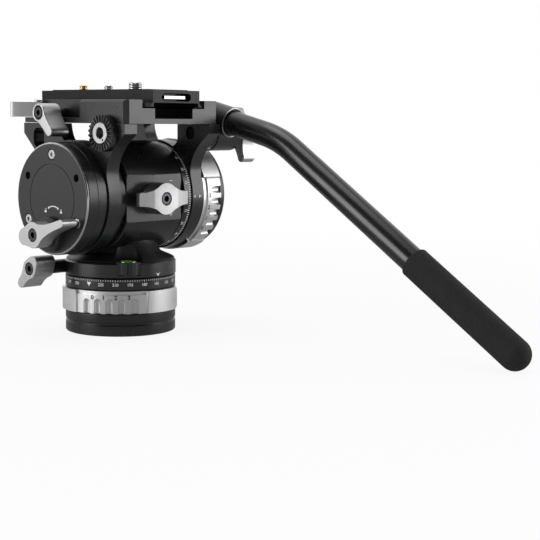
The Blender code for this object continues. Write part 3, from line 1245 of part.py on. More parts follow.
def camera_plate():
    """The sliding dovetail plate: an arch below, a screw slot, a pin hole and an end pocket."""
    right = [(PLATE_ARCH_HALF - GAP, PLATE_ARCH_TOP_Z), (PLATE_ARCH_HALF, PLATE_LEG_Z),
             (PLATE_LEG_HALF, PLATE_LEG_Z), (PLATE_TOP_HALF, PLATE_SHOULDER_Z),
             (PLATE_TOP_HALF, PLATE_TOP_Z)]
    section = right + [(-x, z) for x, z in reversed(right)]
    made = along_y("camera_plate", section, PLATE_REAR_Y, PLATE_FRONT_Y, BLACK)
    rear, front = THREE_EIGHTH_Y - SLOT_SPARE, QUARTER_Y + SLOT_SPARE
    through = slot_outline(THREE_EIGHTH_R + GAP, rear, front)
    wide_half = SCREW_FLANGE_R + GAP
    spare = wide_half - THREE_EIGHTH_R - GAP
    wide = slot_outline(wide_half, rear - spare, front + spare)
    cut(made, extruded("screw_slot", through, PLATE_LEG_Z, PLATE_TOP_Z + OVERRUN, None),
        extruded("flange_slot", wide, PLATE_LEG_Z, SCREW_SEAT_Z, None), solver="MANIFOLD")
    pin = (0, PIN_Y, 0)
    cut(made, rod("pin_hole", PIN_R + GAP, PLATE_LEG_Z, PLATE_TOP_Z + OVERRUN, None, pin),
        rod("pin_seat", PIN_HEAD_R + GAP, PLATE_LEG_Z, SCREW_SEAT_Z, None, pin), solver="MANIFOLD")
    half = (PLATE_SLOT_HIGH_Z - PLATE_SLOT_LOW_Z) / 2
    middle = (PLATE_SLOT_HIGH_Z + PLATE_SLOT_LOW_Z) / 2
    reach = PLATE_SLOT_HALF - half
    outline = (arc(half, -90, 90, 4, (reach, middle)) + arc(half, 90, 270, 4, (-reach, middle)))
    cut(made, along_y("end_pocket", outline, PLATE_REAR_Y - OVERRUN, PLATE_REAR_Y + PLATE_SLOT_DEPTH,
                      None), solver="MANIFOLD")
    seat = block("pad_seat", (-PAD_HALF - GAP, PAD_REAR_Y - GAP, PLATE_TOP_Z - PAD_SEAT),
                 (PAD_HALF + GAP, PAD_FRONT_Y + GAP, PLATE_TOP_Z + OVERRUN), None)
    return cut(made, seat, solver="MANIFOLD")


def plate_pad():
    """The rubber sheet let into the plate's top, open along the screws."""
    low = PLATE_TOP_Z - PAD_SEAT + GAP
    made = block("plate_pad", (-PAD_HALF, PAD_REAR_Y, low), (PAD_HALF, PAD_FRONT_Y,
                 PLATE_TOP_Z + PAD_PROUD), RUBBER)
    window = slot_outline(PAD_WINDOW_HALF, THREE_EIGHTH_Y - SLOT_SPARE - THREE_EIGHTH_R,
                          PIN_Y + PIN_HEAD_R)
    return cut(made, extruded("pad_window", window, low - OVERRUN, PLATE_TOP_Z + OVERRUN, None))


def end_bar():
    """The bright bar at the back of the plate's end pocket."""
    back = PLATE_REAR_Y + PLATE_SLOT_DEPTH - GAP
    return block("plate_end_bar", (-END_BAR_HALF, PLATE_REAR_Y + END_BAR_SET, END_BAR_LOW_Z),
                 (END_BAR_HALF, back, END_BAR_HIGH_Z), STEEL)


def plate_screw(name, y, radius, flange_r, top, look):
    """A screw or pin standing through the plate, with its flange under the seat."""
    seat = SCREW_SEAT_Z - GAP
    return turned(name, [
        (0, top), (radius - EDGE, top), (radius, top - EDGE), (radius, seat), (flange_r, seat),
        (flange_r, seat - SCREW_FLANGE_H), (0, seat - SCREW_FLANGE_H)], look, (0, y, 0),
        steps=SMALL_STEPS)


# Pan bar

BAR_AT = (BAR_X, ROSETTE_Y, ROSETTE_Z)
TURN_START = (pi / 2 + radians(BAR_START_DOWN), 0.0, 0.0)   # local Z runs down the bar
TURN_END = (pi / 2 + radians(BAR_END_DOWN), 0.0, 0.0)


def down_bar(down):
    """A unit step along the bar where it points so many degrees below the horizon."""
    return Vector((0, -cos(radians(down)), -sin(radians(down))))


def bar_path():
    """The tube's middle line: a straight, one bend and a longer straight."""
    start_up = Vector((0, -sin(radians(BAR_START_DOWN)), cos(radians(BAR_START_DOWN))))
    foot = Vector(BAR_AT) + start_up * BAR_RISE
    bend = foot + down_bar(BAR_START_DOWN) * BAR_BEND_START
    centre = bend - start_up * BAR_BEND_R
    turn = BAR_END_DOWN - BAR_START_DOWN
    points = [foot + down_bar(BAR_START_DOWN) * BAR_SEAT]
    steps = 5
    for i in range(steps + 1):
        down = radians(BAR_START_DOWN + turn * i / steps)
        points.append(centre + Vector((0, -sin(down), cos(down))) * BAR_BEND_R)
    grip = points[-1] + down_bar(BAR_END_DOWN) * BAR_STRAIGHT
    return foot, points, grip


def bar_tube():
    """The bent tube, capped at both ends; its last stretch lies in the grip's bore."""
    foot, points, grip = bar_path()
    points.append(grip + down_bar(BAR_END_DOWN) * (GRIP_BORE - GAP))
    curve = bpy.data.curves.new("bar_tube", "CURVE")
    curve.dimensions = "3D"
    curve.bevel_depth = TUBE_R
    curve.bevel_resolution = 3
    curve.use_fill_caps = True
    line = curve.splines.new("POLY")
    line.points.add(len(points) - 1)
    for point, spot in zip(line.points, points):
        point.co = (*(spot - Vector(BAR_AT)), 1)
    made = bpy.data.objects.new("bar_tube", curve)
    made.location = BAR_AT
    PARTS.objects.link(made)
    made.data.materials.append(material(BLACK))
    return made


def bar_clamp():
    """The barrel on the rosette with the socket that the tube is fixed in."""
    foot, points, grip = bar_path()
    low = ROSETTE_FACE_X + GAP
    made = rod("bar_clamp", CLAMP_R, low, CLAMP_OUT_X, BLACK, ROSETTE_AT, TURN_X, BIG_STEPS, EDGE)
    join(made, rod("bar_socket", TUBE_R + SOCKET_WALL_R, -SOCKET_AHEAD, SOCKET_BEHIND, None, foot,
                   TURN_START, BIG_STEPS, EDGE))
    bore = rod("bar_bore", TUBE_R + GAP, BAR_SEAT - GAP, SOCKET_BEHIND + OVERRUN, None, foot,
               TURN_START, BIG_STEPS)
    bolt = rod("bar_bolt_bore", BAR_BOLT_R + GAP, low - OVERRUN, CLAMP_OUT_X + OVERRUN, None,
               ROSETTE_AT, TURN_X)
    return cut(made, bore, bolt, solver="MANIFOLD")


def bar_grip():
    """The foam grip: a sleeve on the tube's end with a domed tip."""
    foot, points, grip = bar_path()
    top = GRIP_LEN - GRIP_R
    dome = [(x, top + y) for x, y in reversed(arc(GRIP_R, 0, 90, 5))]
    dome[0] = (0, GRIP_LEN)
    return turned("bar_grip", dome + [
        (GRIP_R, GRIP_LIP), (GRIP_R - GRIP_LIP, 0), (TUBE_R + GAP, 0), (TUBE_R + GAP, GRIP_BORE),
        (0, GRIP_BORE)], FOAM, grip, TURN_END, SMALL_STEPS)


def bar_clamp_lever():
    """The lever outside the clamp; its bolt runs through clamp, rosette and arm."""
    outer = BAR_LEVER_IN_X + BAR_LEVER_THICK
    made = lever("bar_clamp_lever", BAR_LEVER_HUB_R, BAR_LEVER_TIPS, BAR_LEVER_IN_X, outer, SILVER,
                 ROSETTE_AT, BAR_BOLT_R, ARM_IN_X + EDGE)
    join(made, rod("lever_washer", WASHER_R, CLAMP_OUT_X + GAP, BAR_LEVER_IN_X + OVERRUN, None,
                   ROSETTE_AT, TURN_X))
    return lever_screw("bar_clamp_screw", ROSETTE_AT, outer, 1)


def pan_base():
    base_body()
    thread_insert()
    pan_axle()
    pan_bearings()
    pan_drag_cups()
    pan_scale_ring()
    drag_ring("pan_drag_ring", (0, 0, BASE_RIM_Z + GAP), LEVEL_TURN, PAN_SLOT_MIDDLE, DRAG_H - GAP,
              DRAG_SLOT_LEN, 1)


def pan_body():
    pan_seal()
    pan_disc()
    pan_lock()
    level()
    main_housing()
    left_collar()
    tilt_shaft()
    tilt_bearings()
    tilt_drag_rotor()
    counterbalance_spring()
    counterbalance_knob()
    left_drum()
    left_cap()
    left_cap_screws()
    tilt_lock()


def tilt_body():
    arm("left_arm", -1)
    arm("right_arm", 1)
    tilt_scale_ring()
    right_drum()
    right_cap()
    drag_ring("tilt_drag_ring", (TILT_RING_IN_X, 0, TILT_Z), TURN_X, 180 - TILT_RING_MIDDLE,
              TILT_RING_W, TILT_SLOT_LEN, -1)
    rosettes()
    left_rosette_insert()
    platform()
    jaws()
    plate_lock()
    safety_catch()


def sliding_plate():
    camera_plate()
    plate_pad()
    end_bar()
    plate_screw("video_pin", PIN_Y, PIN_R, PIN_HEAD_R, PIN_TOP_Z, BRASS)
    plate_screw("quarter_inch_screw", QUARTER_Y, QUARTER_R, SCREW_FLANGE_R, QUARTER_TOP_Z, STEEL)
    plate_screw("three_eighth_screw", THREE_EIGHTH_Y, THREE_EIGHTH_R, SCREW_FLANGE_R,
                THREE_EIGHTH_TOP_Z, STEEL)


def pan_bar():
    bar_clamp()
    bar_tube()
    bar_grip()
    bar_clamp_lever()


clear_scene()
PARTS = new_collection("Fluid video head")
CUTTERS = new_collection("Cutters")
pan_base()
pan_body()
tilt_body()
sliding_plate()
pan_bar()
for part in PARTS.objects:
    if part.type == "MESH":
        shade(part)
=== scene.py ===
"""The dressed fluid video head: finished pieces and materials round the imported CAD, in its frame."""
import json
from math import cos, degrees, pi, radians, sin

import bmesh
import bpy
from mathutils import Matrix, Vector

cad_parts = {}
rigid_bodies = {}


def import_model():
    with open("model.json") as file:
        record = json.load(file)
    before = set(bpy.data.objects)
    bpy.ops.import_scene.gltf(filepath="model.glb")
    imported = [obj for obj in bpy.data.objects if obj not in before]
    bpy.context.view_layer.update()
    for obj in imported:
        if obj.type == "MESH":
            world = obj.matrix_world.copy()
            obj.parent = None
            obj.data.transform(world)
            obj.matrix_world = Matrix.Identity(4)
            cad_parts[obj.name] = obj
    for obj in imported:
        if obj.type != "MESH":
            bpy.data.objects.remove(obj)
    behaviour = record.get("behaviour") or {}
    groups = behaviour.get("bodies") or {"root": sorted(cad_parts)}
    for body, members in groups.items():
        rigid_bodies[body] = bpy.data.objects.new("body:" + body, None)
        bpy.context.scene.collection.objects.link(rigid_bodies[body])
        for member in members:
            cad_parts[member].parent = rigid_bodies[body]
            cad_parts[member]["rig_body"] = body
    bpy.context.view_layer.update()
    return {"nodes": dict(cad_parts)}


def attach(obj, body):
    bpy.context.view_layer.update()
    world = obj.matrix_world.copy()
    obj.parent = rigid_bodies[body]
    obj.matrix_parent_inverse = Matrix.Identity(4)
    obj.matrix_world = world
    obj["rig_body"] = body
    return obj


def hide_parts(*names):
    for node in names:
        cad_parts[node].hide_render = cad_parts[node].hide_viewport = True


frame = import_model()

nodes = frame["nodes"]
scene = bpy.context.scene
MM = 0.001


# The camera stands at the photograph's place: to the operator's left, a little above the
# camera plate, with a long lens. It is turned to the middle of the head and not shifted.
CAMERA_PLACE = (-0.6209, -0.7113, 0.1549)
CAMERA_TURN, CAMERA_DIP, CAMERA_ROLL = -47.734, 6.754, 0.582
CAMERA_LENS = 86.465
camera = bpy.data.objects.new("camera", bpy.data.cameras.new("camera"))
camera.data.lens = CAMERA_LENS
camera.data.sensor_width = 36.0
camera.data.clip_start, camera.data.clip_end = 0.05, 50.0
camera.matrix_world = (
    Matrix.Translation(CAMERA_PLACE)
    @ Matrix.Rotation(radians(CAMERA_TURN), 4, "Z")
    @ Matrix.Rotation(radians(90 - CAMERA_DIP), 4, "X")
    @ Matrix.Rotation(radians(CAMERA_ROLL), 4, "Z")
)
scene.collection.objects.link(camera)
scene.camera = camera
scene.view_settings.view_transform = "Standard"


# The studio: a white surround, with a darker end of the room behind the camera for gloss to
# show, and soft boxes left, right and above, as for a catalogue picture.
SURROUND_LIGHT = 0.55
DARK_END = (-0.66, -0.75, 0.0)
DARK_LEVEL = 0.05


def add_nodes(tree, *kinds):
    return [tree.nodes.new("ShaderNode" + kind) for kind in kinds]


def dial(node, values):
    """Sets the named inputs of a shader node."""
    for name, value in values.items():
        node.inputs[name].default_value = value


def wire(tree, *links):
    """Links nodes: each is a node and its output, then a node and its input."""
    for source, output, target, entry in links:
        tree.links.new(source.outputs[output], target.inputs[entry])


def seen_rays(tree):
    """1 where the camera, gloss or glass looks, 0 for the light that falls on things."""
    path, first, second = add_nodes(tree, "LightPath", "Math", "Math")
    first.operation = second.operation = "MAXIMUM"
    wire(tree, (path, "Is Camera Ray", first, 0), (path, "Is Glossy Ray", first, 1),
         (first, 0, second, 0), (path, "Is Transmission Ray", second, 1))
    return path, second


world = bpy.data.worlds.new("studio")
scene.world = world
world.use_nodes = True
tree = world.node_tree
tree.nodes.clear()
path, seen = seen_rays(tree)
where, facing, level, keep, dim, white, mixed, out = add_nodes(
    tree, "TexCoord", "VectorMath", "MapRange", "Math", "Background", "Background", "MixShader",
    "OutputWorld")
facing.operation = "DOT_PRODUCT"
facing.inputs[1].default_value = DARK_END
level.interpolation_type = "SMOOTHSTEP"
dial(level, {"From Min": -0.8, "From Max": 0.3, "To Min": 1.0, "To Max": DARK_LEVEL})
keep.operation = "MAXIMUM"
dial(dim, {"Strength": SURROUND_LIGHT, "Color": (1, 1, 1, 1)})
dial(white, {"Color": (1, 1, 1, 1)})
wire(tree, (where, "Generated", facing, 0), (facing, "Value", level, "Value"), (level, "Result", keep, 0),
     (path, "Is Camera Ray", keep, 1), (keep, 0, white, "Strength"), (seen, 0, mixed, 0),
     (dim, 0, mixed, 1), (white, 0, mixed, 2), (mixed, 0, out, 0))

SOFT_BOXES = (              # name, place, aim, width, height, power
    ("right box", (0.94, -1.04, 0.15), (0.0, 0.0, 0.09), 0.7, 1.2, 8.5),
    ("left box", (-1.35, 0.55, 0.25), (0.0, 0.0, 0.09), 0.9, 1.2, 13.0),
    ("top box", (0.0, 0.1, 1.35), (0.0, 0.0, 0.10), 0.8, 0.8, 4.0),
)
for name, place, aim, wide, high, power in SOFT_BOXES:
    lamp = bpy.data.lights.new(name, "AREA")
    lamp.shape = "RECTANGLE"
    lamp.size, lamp.size_y = wide, high
    lamp.energy = power
    box_light = bpy.data.objects.new(name, lamp)
    box_light.location = place
    box_light.rotation_euler = (Vector(aim) - Vector(place)).to_track_quat("-Z", "Y").to_euler()
    scene.collection.objects.link(box_light)


# The floor is a pale sweep at the base's seating face. It keeps the head's soft shadow
# near by and runs out into the white of the surround.
FLOOR_HALF = 12.0
FLOOR_NEAR = 0.14          # radius where the shadow starts to fade
FLOOR_FAR = 0.9
FLOOR_SHADOW = 0.12        # share of the lit floor that shows
# In gloss the floor is a glow that is dimmer under the head and brightens out to GLOSS_FAR: a painted shade
# under the head.
PAINTED_FLOOR_SHADE = 0.3          # how bright gloss shows the floor under the head
GLOSS_FAR = 1.6
bm = bmesh.new()
bmesh.ops.create_grid(bm, x_segments=1, y_segments=1, size=FLOOR_HALF)
mesh = bpy.data.meshes.new("floor")
bm.to_mesh(mesh)
bm.free()
floor = bpy.data.objects.new("floor", mesh)
scene.collection.objects.link(floor)
floor.location.z = -0.0002
paper = bpy.data.materials.new("white paper sweep")
paper.use_nodes = True
tree = paper.node_tree
shader = tree.nodes["Principled BSDF"]
dial(shader, {"Base Color": (0.86, 0.86, 0.86, 1), "Roughness": 0.9, "Specular IOR Level": 0.1})
path, seen = seen_rays(tree)
glow, middle, reach, fade, share, shown, gloss, glow_level, mixed = add_nodes(
    tree, "Emission", "TexCoord", "VectorMath", "MapRange", "Math", "Math", "MapRange", "Math", "MixShader")
reach.operation = "LENGTH"
dial(fade, {"From Min": FLOOR_NEAR, "From Max": FLOOR_FAR, "To Min": 1 - FLOOR_SHADOW, "To Max": 1.0})
share.operation = "MULTIPLY"
shown.operation = glow_level.operation = "MAXIMUM"
# the floor's glow for gloss rays, dimmer near the head: painted shade
dial(gloss, {"From Min": FLOOR_NEAR, "From Max": GLOSS_FAR, "To Min": PAINTED_FLOOR_SHADE, "To Max": 1.0})
wire(tree, (middle, "Object", reach, 0), (reach, "Value", fade, "Value"), (reach, "Value", gloss, "Value"),
     (gloss, "Result", glow_level, 0), (path, "Is Camera Ray", glow_level, 1),
     (glow_level, 0, glow, "Strength"), (fade, "Result", shown, 0), (path, "Is Glossy Ray", shown, 1),
     (seen, 0, share, 0), (shown, 0, share, 1), (share, 0, mixed, 0), (shader, 0, mixed, 1),
     (glow, 0, mixed, 2), (mixed, 0, tree.nodes["Material Output"], "Surface"))
mesh.materials.append(paper)


# The base is one turned and black-anodised aluminium cup with a groove round it. It screws
# to the tripod by a steel thread insert, and carries the pan axle and the lower bearing.
BLACK, BLACK_WORN = (0.005, 0.005, 0.006), (0.010, 0.010, 0.011)
SHARP = radians(28)


def finish_of(name, colour, other, metallic, rough, spread=0.06, grain=2400.0, depth=0.018,
              gloss=0.5, rings=None, ring_depth=0.0):
    """A machined or moulded finish: fine grain, uneven colour and roughness, and turning marks."""
    look = bpy.data.materials.new(name)
    look.use_nodes = True
    tree = look.node_tree
    shader = tree.nodes["Principled BSDF"]
    dial(shader, {"Metallic": metallic, "Specular IOR Level": gloss})
    where, fine, broad, tone, rub, bump = add_nodes(
        tree, "TexCoord", "TexNoise", "TexNoise", "ValToRGB", "MapRange", "Bump")
    dial(fine, {"Scale": grain, "Detail": 3.0})
    dial(broad, {"Scale": 55.0, "Detail": 5.0})
    for stop, position, shade in zip(tone.color_ramp.elements, (0.3, 0.75), (colour, other)):
        stop.position, stop.color = position, (*shade, 1)
    dial(rub, {"From Min": 0.3, "From Max": 0.7, "To Min": rough - spread, "To Max": rough + spread})
    dial(bump, {"Strength": 0.5, "Distance": depth * MM})
    wire(tree, (where, "Object", fine, "Vector"), (where, "Object", broad, "Vector"),
         (fine, "Fac", tone, "Fac"), (tone, "Color", shader, "Base Color"), (broad, "Fac", rub, "Value"),
         (rub, "Result", shader, "Roughness"), (fine, "Fac", bump, "Height"))
    if rings:
        axis, centre = rings
        shift, wave, marks = add_nodes(tree, "Mapping", "TexWave", "Bump")
        dial(shift, {"Location": [-c for c in centre]})
        wave.wave_type = "RINGS"
        wave.rings_direction = axis
        dial(wave, {"Scale": 520.0, "Distortion": 0.6, "Detail": 2.0})
        dial(marks, {"Strength": 0.4, "Distance": ring_depth * MM})
        wire(tree, (where, "Object", shift, "Vector"), (shift, "Vector", wave, "Vector"),
             (wave, "Fac", marks, "Height"), (bump, "Normal", marks, "Normal"))
        bump = marks
    wire(tree, (bump, "Normal", shader, "Normal"))
    return look


def soften(piece, edge, steps=2):
    """Rounds the piece's sharp edges a little and shades it smooth."""
    piece.data.shade_smooth()
    rounding = piece.modifiers.new("rounding", "BEVEL")
    rounding.limit_method = "ANGLE"
    rounding.angle_limit = SHARP
    rounding.width = edge * MM
    rounding.segments = steps
    rounding.use_clamp_overlap = True
    evening = piece.modifiers.new("evening", "WEIGHTED_NORMAL")
    evening.mode = "FACE_AREA"
    evening.weight = 100
    evening.keep_sharp = False


def put(name, bm, look, body, replaced=(), edge=0.25, steps=2):
    """Makes the shaped mesh a piece of the model, riding on its body."""
    mesh = bpy.data.meshes.new(name)
    bm.to_mesh(mesh)
    bm.free()
    mesh.materials.append(look)
    piece = bpy.data.objects.new(name, mesh)
    scene.collection.objects.link(piece)
    if edge:
        soften(piece, edge, steps)
    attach(piece, body)
    if replaced:
        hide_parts(*replaced)


def laid(bm, place):
    """The shape turned and moved to its place."""
    bmesh.ops.transform(bm, matrix=place, verts=bm.verts)
    return bm


def moved(at):
    """The move to a place that is given in millimetres."""
    return Matrix.Translation([c * MM for c in at])


def turn_to(axis):
    """The turn that lays a shape made round Z along that axis."""
    return Matrix.Rotation({"Z": 0, "X": pi / 2, "-X": -pi / 2}[axis], 4, "Y")


def spun(profile, axis="Z", centre=(0, 0, 0), steps=144):
    """A turned solid: the closed profile of (radius, height) in millimetres, spun round the axis."""
    bm = bmesh.new()
    corners = [bm.verts.new((radius * MM, 0, height * MM)) for radius, height in profile]
    edges = [bm.edges.new((corners[i - 1], corners[i])) for i in range(len(corners))
             if profile[i - 1][0] > 0 or profile[i][0] > 0]
    bmesh.ops.spin(bm, geom=corners + edges, cent=(0, 0, 0), axis=(0, 0, 1), angle=2 * pi,
                   steps=steps, use_merge=True)
    bmesh.ops.remove_doubles(bm, verts=bm.verts, dist=0.001 * MM)
    bmesh.ops.recalc_face_normals(bm, faces=bm.faces)
    return laid(bm, moved(centre) @ turn_to(axis))


def anodised(name, rings=None):
    """Black anodised aluminium, with turning marks where rings gives their axis and centre."""
    return finish_of(name, BLACK, BLACK_WORN, 0.0, 0.28, spread=0.02, depth=0.008, gloss=0.7,
                     rings=rings, ring_depth=0.003)


black_turned = anodised("black anodised aluminium turned on Z", ("Z", (0, 0, 0)))
base_profile = (
    (9.5, 0), (38.9, 0), (39.7, 0.8), (39.7, 7.5), (38.7, 7.7), (38.7, 9.3), (39.7, 9.5),
    (39.7, 15.3), (39.0, 16), (35.5, 16), (35.5, 32.3), (29.5, 32.3), (29.5, 6), (14.2, 6),
    (14.2, 12), (9.5, 12))
put("base.cup", spun(base_profile), black_turned, "base", ("base_body",))


# The pan drag ring turns on the base's sleeve. It is bead-blasted aluminium with three raised
# grips and, between them, panels with five finger slots each. Its setting is read off 0 to 3.
PANEL_R, LOBE_R, RING_LOW, RING_HIGH = 40.9, 41.9, 16.3, 32.0
SLOT_PITCH, SLOT_HALF, SLOT_DEEP = 12.4, 2.75, 1.6
LOBE_SPAN = 44.4           # degrees round the ring
PANEL_SPAN = 120 - LOBE_SPAN
silver = finish_of("bead-blasted aluminium", (0.80, 0.80, 0.805), (0.88, 0.88, 0.885), 1.0, 0.42,
                   depth=0.012)
dark_marking = finish_of("dark etched marking", (0.02, 0.02, 0.02), (0.03, 0.03, 0.03), 0.0, 0.5)


def points_of(grown):
    """The vertices among what an extrusion made."""
    return [g for g in grown if isinstance(g, bmesh.types.BMVert)]


def thickened(bm, vec):
    """The flat faces of the bmesh drawn out by that vector into a solid."""
    grown = bmesh.ops.extrude_face_region(bm, geom=bm.faces[:])["geom"]
    bmesh.ops.translate(bm, vec=vec, verts=points_of(grown))
    bmesh.ops.recalc_face_normals(bm, faces=bm.faces)
    return bm


def prism(outline, low, high, place=Matrix.Identity(4)):
    """A solid with that outline in millimetres, from low to high, put in its place."""
    bm = bmesh.new()
    bm.faces.new([bm.verts.new((x * MM, y * MM, low * MM)) for x, y in outline])
    return laid(thickened(bm, (0, 0, (high - low) * MM)), place)


def carved(blank, cutter, way="DIFFERENCE"):
    """The blank with the cutter's shape taken out of it or added to it. Both are used up."""
    pair = []
    for bm in (blank, cutter):
        mesh = bpy.data.meshes.new("shape")
        bm.to_mesh(mesh)
        bm.free()
        pair.append(bpy.data.objects.new("shape", mesh))
        scene.collection.objects.link(pair[-1])
    cut = pair[0].modifiers.new("cut", "BOOLEAN")
    cut.operation, cut.object, cut.solver = way, pair[1], "EXACT"
    done = pair[0].evaluated_get(bpy.context.evaluated_depsgraph_get())
    bm = bmesh.new()
    bm.from_mesh(done.to_mesh())
    done.to_mesh_clear()
    for thing in pair:
        mesh = thing.data
        bpy.data.objects.remove(thing)
        bpy.data.meshes.remove(mesh)
    bmesh.ops.remove_doubles(bm, verts=bm.verts, dist=0.002 * MM)
    bmesh.ops.dissolve_limit(bm, angle_limit=radians(0.2), use_dissolve_boundaries=False,
                             verts=bm.verts, edges=bm.edges, delimit={"NORMAL"})
    return bm


def polar(radius, degrees_round):
    return radius * cos(radians(degrees_round)), radius * sin(radians(degrees_round))


def quarter(x, y, radius, steps=8):
    """A quarter of a circle round x and y, from beside it to above it."""
    turns = [pi / 2 * k / steps for k in range(steps + 1)]
    return [(x + radius * cos(turn), y + radius * sin(turn)) for turn in turns]


def gathered(shapes):
    """Separate shapes put together in one bmesh."""
    whole = bmesh.new()
    for shape in shapes:
        held = bpy.data.meshes.new("held")
        shape.to_mesh(held)
        shape.free()
        whole.from_mesh(held)
        bpy.data.meshes.remove(held)
    return whole


def rod(radius, low, high):
    """The profile of a plain round rod."""
    return (0, low), (radius, low), (radius, high), (0, high)


def grip_ring(middle, height, step_drop, slot_long):
    """A ring from height 0 with lobes and slotted panels; middle is the angle of a middle slot."""
    outline = []
    for i in range(3):
        start = middle + 60 + 120 * i - LOBE_SPAN / 2
        outline += [polar(LOBE_R, start + LOBE_SPAN * k / 32) for k in range(33)]
        outline += [polar(PANEL_R, start + LOBE_SPAN + PANEL_SPAN * k / 48) for k in range(1, 48)]
    ring = carved(prism(outline, 0, height), spun(rod(36, -1, height + 1), steps=96))
    # the panels' tops are stepped down beside the lobes
    turns = [middle + PANEL_SPAN * (k / 36 - 0.5) for k in range(37)]
    step = [polar(PANEL_R + 3, turn) for turn in turns] + [polar(PANEL_R - 1.2, turn) for turn in turns[::-1]]
    steps = gathered(prism(step, height - step_drop, height + 2, Matrix.Rotation(radians(120 * i), 4, "Z"))
                     for i in range(3))
    ring = carved(ring, steps)
    # half-round finger flutes with rounded ends, open at the lower edge
    flute = [(0, -3), (SLOT_HALF, -3), *quarter(0, slot_long - SLOT_HALF, SLOT_HALF)]
    slot_out = PANEL_R + SLOT_HALF - SLOT_DEEP - 1.0
    slots = gathered(spun(flute, centre=(*polar(slot_out, middle + 120 * i + k * SLOT_PITCH), 0), steps=24)
                     for i in range(3) for k in range(-2, 3))
    return carved(ring, slots)


bm = grip_ring(217.9, RING_HIGH - RING_LOW, 2.5, 10.5)
put("pan_ring.grip", laid(bm, moved((0, 0, RING_LOW))), silver, "pan_ring",
    ("pan_drag_ring",), 0.3)


def lettering(name, text, size, wrap_r, round_at, height_at, place, body, look, thick=0.06, lean=0.0,
              bold=0.011):
    """A number wrapped on a cylinder round local Z, then put in place; round_at is in degrees."""
    curve = bpy.data.curves.new(name, "FONT")
    curve.body = text
    curve.size = size * MM
    curve.align_x = "CENTER"
    curve.align_y = "CENTER"
    curve.offset = bold * size * MM
    holder = bpy.data.objects.new(name, curve)
    scene.collection.objects.link(holder)
    flat = bpy.data.meshes.new_from_object(holder.evaluated_get(bpy.context.evaluated_depsgraph_get()))
    bpy.data.objects.remove(holder)
    bm = bmesh.new()
    bm.from_mesh(flat)
    bpy.data.meshes.remove(flat)
    bmesh.ops.triangulate(bm, faces=bm.faces)
    bmesh.ops.subdivide_edges(bm, edges=[e for e in bm.edges if e.calc_length() > 0.6 * MM], cuts=1)
    bmesh.ops.rotate(bm, verts=bm.verts, cent=(0, 0, 0), matrix=Matrix.Rotation(radians(lean), 3, "Z"))
    for v in bm.verts:
        turn = radians(round_at) + v.co.x / (wrap_r * MM)
        v.co = Vector((wrap_r * MM * cos(turn), wrap_r * MM * sin(turn), v.co.y + height_at * MM))
    grown = bmesh.ops.extrude_face_region(bm, geom=bm.faces[:])["geom"]
    for v in points_of(grown):
        v.co += Vector((v.co.x, v.co.y, 0)).normalized() * thick * MM
    bmesh.ops.recalc_face_normals(bm, faces=bm.faces)
    put(name, laid(bm, place), look, body, edge=0)


VIEWED = 227.8             # direction of the camera from the pan axis, in degrees from +X
UPRIGHT = Matrix.Identity(4)
for digit, off in zip("0123", (-27.9, -16.0, -3.8, 9.2)):
    lettering(f"pan_ring.digit_{digit}", digit, 4.2, PANEL_R - 0.02, VIEWED + off, 27.7, UPRIGHT,
              "pan_ring", dark_marking, bold=0.035)


# The pan scale ring is fixed to the base: black anodised, with white-filled degree numbers
# every 15 degrees, a tick every 2.5 degrees and a triangle that points at the drag setting.
SCALE_R, SCALE_LOW, SCALE_HIGH = 39.7, 32.6, 40.7
scale_profile = ((30.8, SCALE_LOW), (SCALE_R - 0.5, SCALE_LOW), (SCALE_R, SCALE_LOW + 0.5),
                 (SCALE_R, SCALE_HIGH - 0.3), (SCALE_R - 0.3, SCALE_HIGH), (30.8, SCALE_HIGH))
put("scale_ring.band", spun(scale_profile), black_turned, "base", ("pan_scale_ring",), 0.12)
marking = finish_of("white filled marking", (0.75, 0.75, 0.75), (0.82, 0.82, 0.82), 0.0, 0.5)
NUMBER_STEP, TICK_STEP, ZERO_AT = 15, 2.5, 73.5
NUMBER_SIZE, NUMBER_MID, TICK_TOP, TICK_LOW, LONG_TICK_LOW, TICK_WIDE = 2.9, 36.6, 40.1, 39.1, 38.7, 0.32
SET_AT = 240               # the triangle stands in this number's place


def tick_marks(name, radius, marks, place, body, look):
    """Short filled lines on a cylinder: (angle, low, high, width) for each, one mesh for all."""
    bm = bmesh.new()
    for angle, low, high, wide in marks:
        bar = bmesh.ops.create_cube(bm, size=MM, matrix=(
            place @ Matrix.Rotation(radians(angle), 4, "Z")
            @ moved((radius, 0, (low + high) / 2))
            @ Matrix.Diagonal((0.1, wide, high - low, 1))))["verts"]
        bmesh.ops.recalc_face_normals(bm, faces=list({f for v in bar for f in v.link_faces}))
    put(name, bm, look, body, edge=0)


for number in range(0, 360, NUMBER_STEP):
    if number != SET_AT:
        lettering(f"scale_ring.number_{number}", str(number), NUMBER_SIZE, SCALE_R - 0.02, ZERO_AT - number,
                  NUMBER_MID, UPRIGHT, "base", marking, 0.04)
tick_marks("scale_ring.ticks", SCALE_R, [
    (ZERO_AT + TICK_STEP * i, TICK_LOW if i % 6 else LONG_TICK_LOW, TICK_TOP, TICK_WIDE) for i in range(144)],
    UPRIGHT, "base", marking)


def pointer(name, radius, angle, top, tip, half, body, notch=0.0):
    """A filled triangle wrapped on a cylinder; a notch in its upper edge makes it a chevron."""
    bm = bmesh.new()
    side = degrees(half / radius)
    corners = [polar(radius, angle - side) + (top,), polar(radius, angle) + (top - notch,),
               polar(radius, angle + side) + (top,), polar(radius, angle) + (tip,)]
    bm.faces.new([bm.verts.new([c * MM for c in corner]) for corner in corners])
    put(name, thickened(bm, Vector((*polar(1, angle), 0)) * 0.06 * MM), marking, body, edge=0)


pointer("scale_ring.setting_mark", SCALE_R - 0.02, VIEWED - 32.8, 38.3, 35.4, 1.8, "base")


